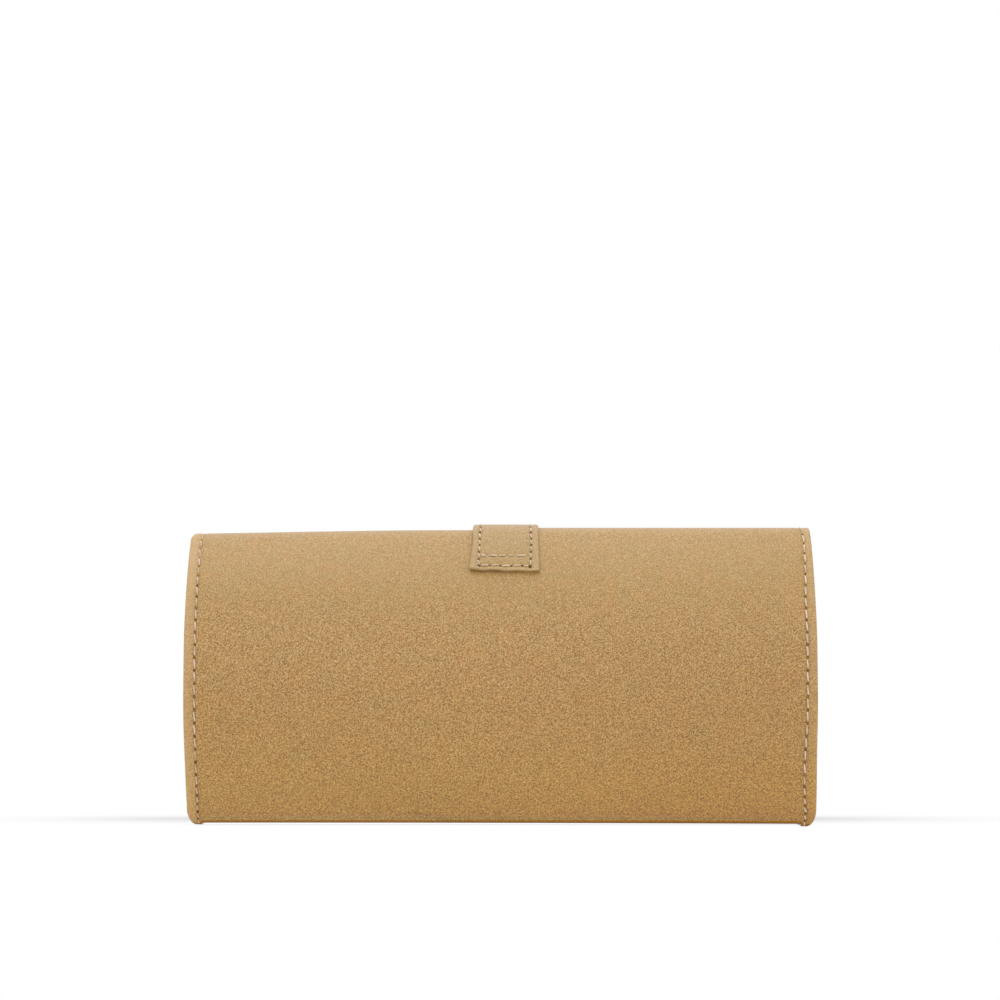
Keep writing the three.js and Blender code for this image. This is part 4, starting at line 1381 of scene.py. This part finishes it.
def swept(name, rings, body, node):
    """A brass piece through rings of corners."""
    rings = np.array(rings, float)
    rows, columns = rings.shape[:2]
    last = (rows - 1) * columns
    faces = [*grid_faces(rows, columns, 0, close=True), range(columns)[::-1], range(last, last + columns)]
    metal_piece(name, rings.reshape(-1, 3), faces, body, node)


def zip_slider():
    """A slider body that widens to its nose and straddles the teeth, its crown, and the pull."""
    centre_x, bottom, top, plate, wall = 66.0, 64.8, 70.1, 1.2, 0.9
    rings = []
    for share in np.linspace(0, 1, 17):
        x = centre_x - 4.5 + 9 * share
        pinch = 0.35 * math.sin(math.pi * min(1, share * 1.1)) + 0.5 * (1 - ramp(share, 0, 0.5))
        nose = 0.45 * (1 - min(1, min(share, 1 - share) / 0.1)) ** 2
        half = 3.6 - pinch - nose
        high = top - nose
        outline = [
            (-half, bottom + nose), (-half + wall, bottom + nose), (-half + wall, high - plate),
            (half - wall, high - plate), (half - wall, bottom + nose), (half, bottom + nose),
            (half, high - 0.9), (half - 0.25, high - 0.3), (half - 0.9, high), (-half + 0.9, high),
            (-half + 0.25, high - 0.3), (-half, high - 0.9),
        ]
        rings.append([(x, DIVIDER_Y + y, z) for y, z in outline])
    swept("slider_body", rings, "slider", "zip_slider")
    pivot, inner, outer, half_thick = top + GAP + 1.7, 1.25, 2.2, 0.8
    radius, half_wire = (inner + outer) / 2, (outer - inner) / 2
    legs = np.linspace(top, pivot, 4)
    path = [
        *((centre_x - radius, z, -1, 0) for z in legs),
        *((centre_x - radius * math.cos(a), pivot + radius * math.sin(a), -math.cos(a), math.sin(a))
          for a in np.linspace(0.2, math.pi - 0.2, 11)),
        *((centre_x + radius, z, 1, 0) for z in legs[::-1]),
    ]
    wire = [(-1, -0.5), (-0.6, -half_thick), (0.6, -half_thick), (1, -0.5), (1, 0.5), (0.6, half_thick),
            (-0.6, half_thick), (-1, 0.5)]
    rings = [
        [(x + nx * a * half_wire, DIVIDER_Y + b, z + nz * a * half_wire) for a, b in wire]
        for x, z, nx, nz in path
    ]
    swept("slider_crown", rings, "slider", "zip_crown")
    pull = frame["nodes"]["zip_pull"]
    pull.data.materials.clear()
    pull.data.materials.append(BRASS)
    bevel = pull.modifiers.new("edges", "BEVEL")
    bevel.width = 0.25 * MM
    bevel.segments = 3


# ---------------------------------------------------------------- stage, light and camera


def floor():
    """A white glowing surface, with a faint soft shadow beside the wallet and a contact shadow along its
    foot, both painted into its glow.
    """
    mesh = bpy.data.meshes.new("floor")
    half = 60.0
    corners = [(-half, -half, 0), (half, -half, 0), (half, half, 0), (-half, half, 0)]
    mesh.from_pydata(corners, [], [(0, 1, 2, 3)])
    plane = bpy.data.objects.new("floor", mesh)
    bpy.context.scene.collection.objects.link(plane)
    plane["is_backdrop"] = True
    material = bpy.data.materials.new("white_floor")
    material.use_nodes = True
    tree = material.node_tree
    tree.nodes.clear()
    place = add_node(tree, "TexCoord").outputs["Object"]
    axes = add_node(tree, "SeparateXYZ", {"Vector": place})
    x, y = axes.outputs["X"], axes.outputs["Y"]

    def calc(operation, a, b=0.0):
        return calculate(tree, operation, a, b)

    def times(a, b):
        return multiply(tree, a, b)

    def decay(value):
        return calc("POWER", 2.718, times(value, -1.0))

    def bell(value, width):
        share = calc("DIVIDE", value, width)
        return decay(times(share, share))

    # Painted shadow: a soft band on the flap's side of the wallet, weaker in its middle and beyond its
    # ends.
    wide = bell(x, 0.09)
    fade_x = calc("DIVIDE", wide, calc("ADD", wide, 0.25))
    fade_y = bell(calc("ADD", y, 0.13), 0.0625)
    middle = calc("SUBTRACT", 1.0, times(bell(x, 0.07), 0.4))
    painted_shadow_band = times(times(fade_x, fade_y), times(middle, 0.55))
    # Painted contact shadow along the foot of the front, which fades before it and past its ends.
    beside = calc("MAXIMUM", calc("SUBTRACT", calc("ABSOLUTE", x), 0.100), 0.0)
    before = calc("MAXIMUM", calc("SUBTRACT", -0.012, y), 0.0)
    close = decay(calc("ADD", times(before, 150.0), times(beside, 300.0)))
    painted_contact_shadow = times(times(close, 0.35), calc("LESS_THAN", y, -0.010))
    strength = calc("SUBTRACT", 1.0, calc("MAXIMUM", painted_shadow_band, painted_contact_shadow))
    glow = add_node(tree, "Emission", {"Color": (1, 1, 1, 1), "Strength": strength})
    output = add_node(tree, "OutputMaterial")
    tree.links.new(glow.outputs[0], output.inputs["Surface"])
    mesh.materials.append(material)


def studio():
    """White surroundings and a broad soft light above."""
    world = bpy.data.worlds.new("studio")
    world.use_nodes = True
    background = world.node_tree.nodes["Background"]
    background.inputs["Color"].default_value = (1, 1, 1, 1)
    background.inputs["Strength"].default_value = 1.0
    scene = bpy.context.scene
    scene.world = world
    scene.view_settings.view_transform = "Standard"
    light = bpy.data.lights.new("top_light", "AREA")
    light.shape = "RECTANGLE"
    light.size, light.size_y = 0.9, 0.7
    light.energy = 3.2
    lamp = bpy.data.objects.new("top_light", light)
    scene.collection.objects.link(lamp)
    # It faces the middle of the wallet, which is 50 mm above the floor.
    aside, above, middle = 0.05, 1.0, 0.05
    lamp.location = (aside, 0.0, above)
    lamp.rotation_euler = (math.atan2(aside, above - middle), 0, math.pi / 2)


def camera():
    """Low behind the wallet, a metre away, pitched up so that the wallet sits low in the frame."""
    place, pitch = (0.0002, 1.0266, 0.020), 4.891
    data = bpy.data.cameras.new("camera")
    data.sensor_width = 36
    data.lens = 111.4
    data.clip_start, data.clip_end = 0.01, 200
    made = bpy.data.objects.new("camera", data)
    bpy.context.scene.collection.objects.link(made)
    made.location = place
    made.rotation_euler = (math.radians(90 + pitch), 0, math.pi)
    bpy.context.scene.camera = made


camera()
floor()
studio()
shell()
back_backing()
front_and_base()
base_backing()
for gusset_name, gusset_end in (("gusset_left_bellows", -1), ("gusset_right_bellows", 1)):
    gusset(gusset_name, gusset_end)
strap_upper()
strap_lower()
snap()
card_pockets()
coin_divider()
zip_teeth()
zip_slider()

boxes = {"cad": CAD_BOX, "visual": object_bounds()}
{key: [list(corner) for corner in box] for key, box in boxes.items()}
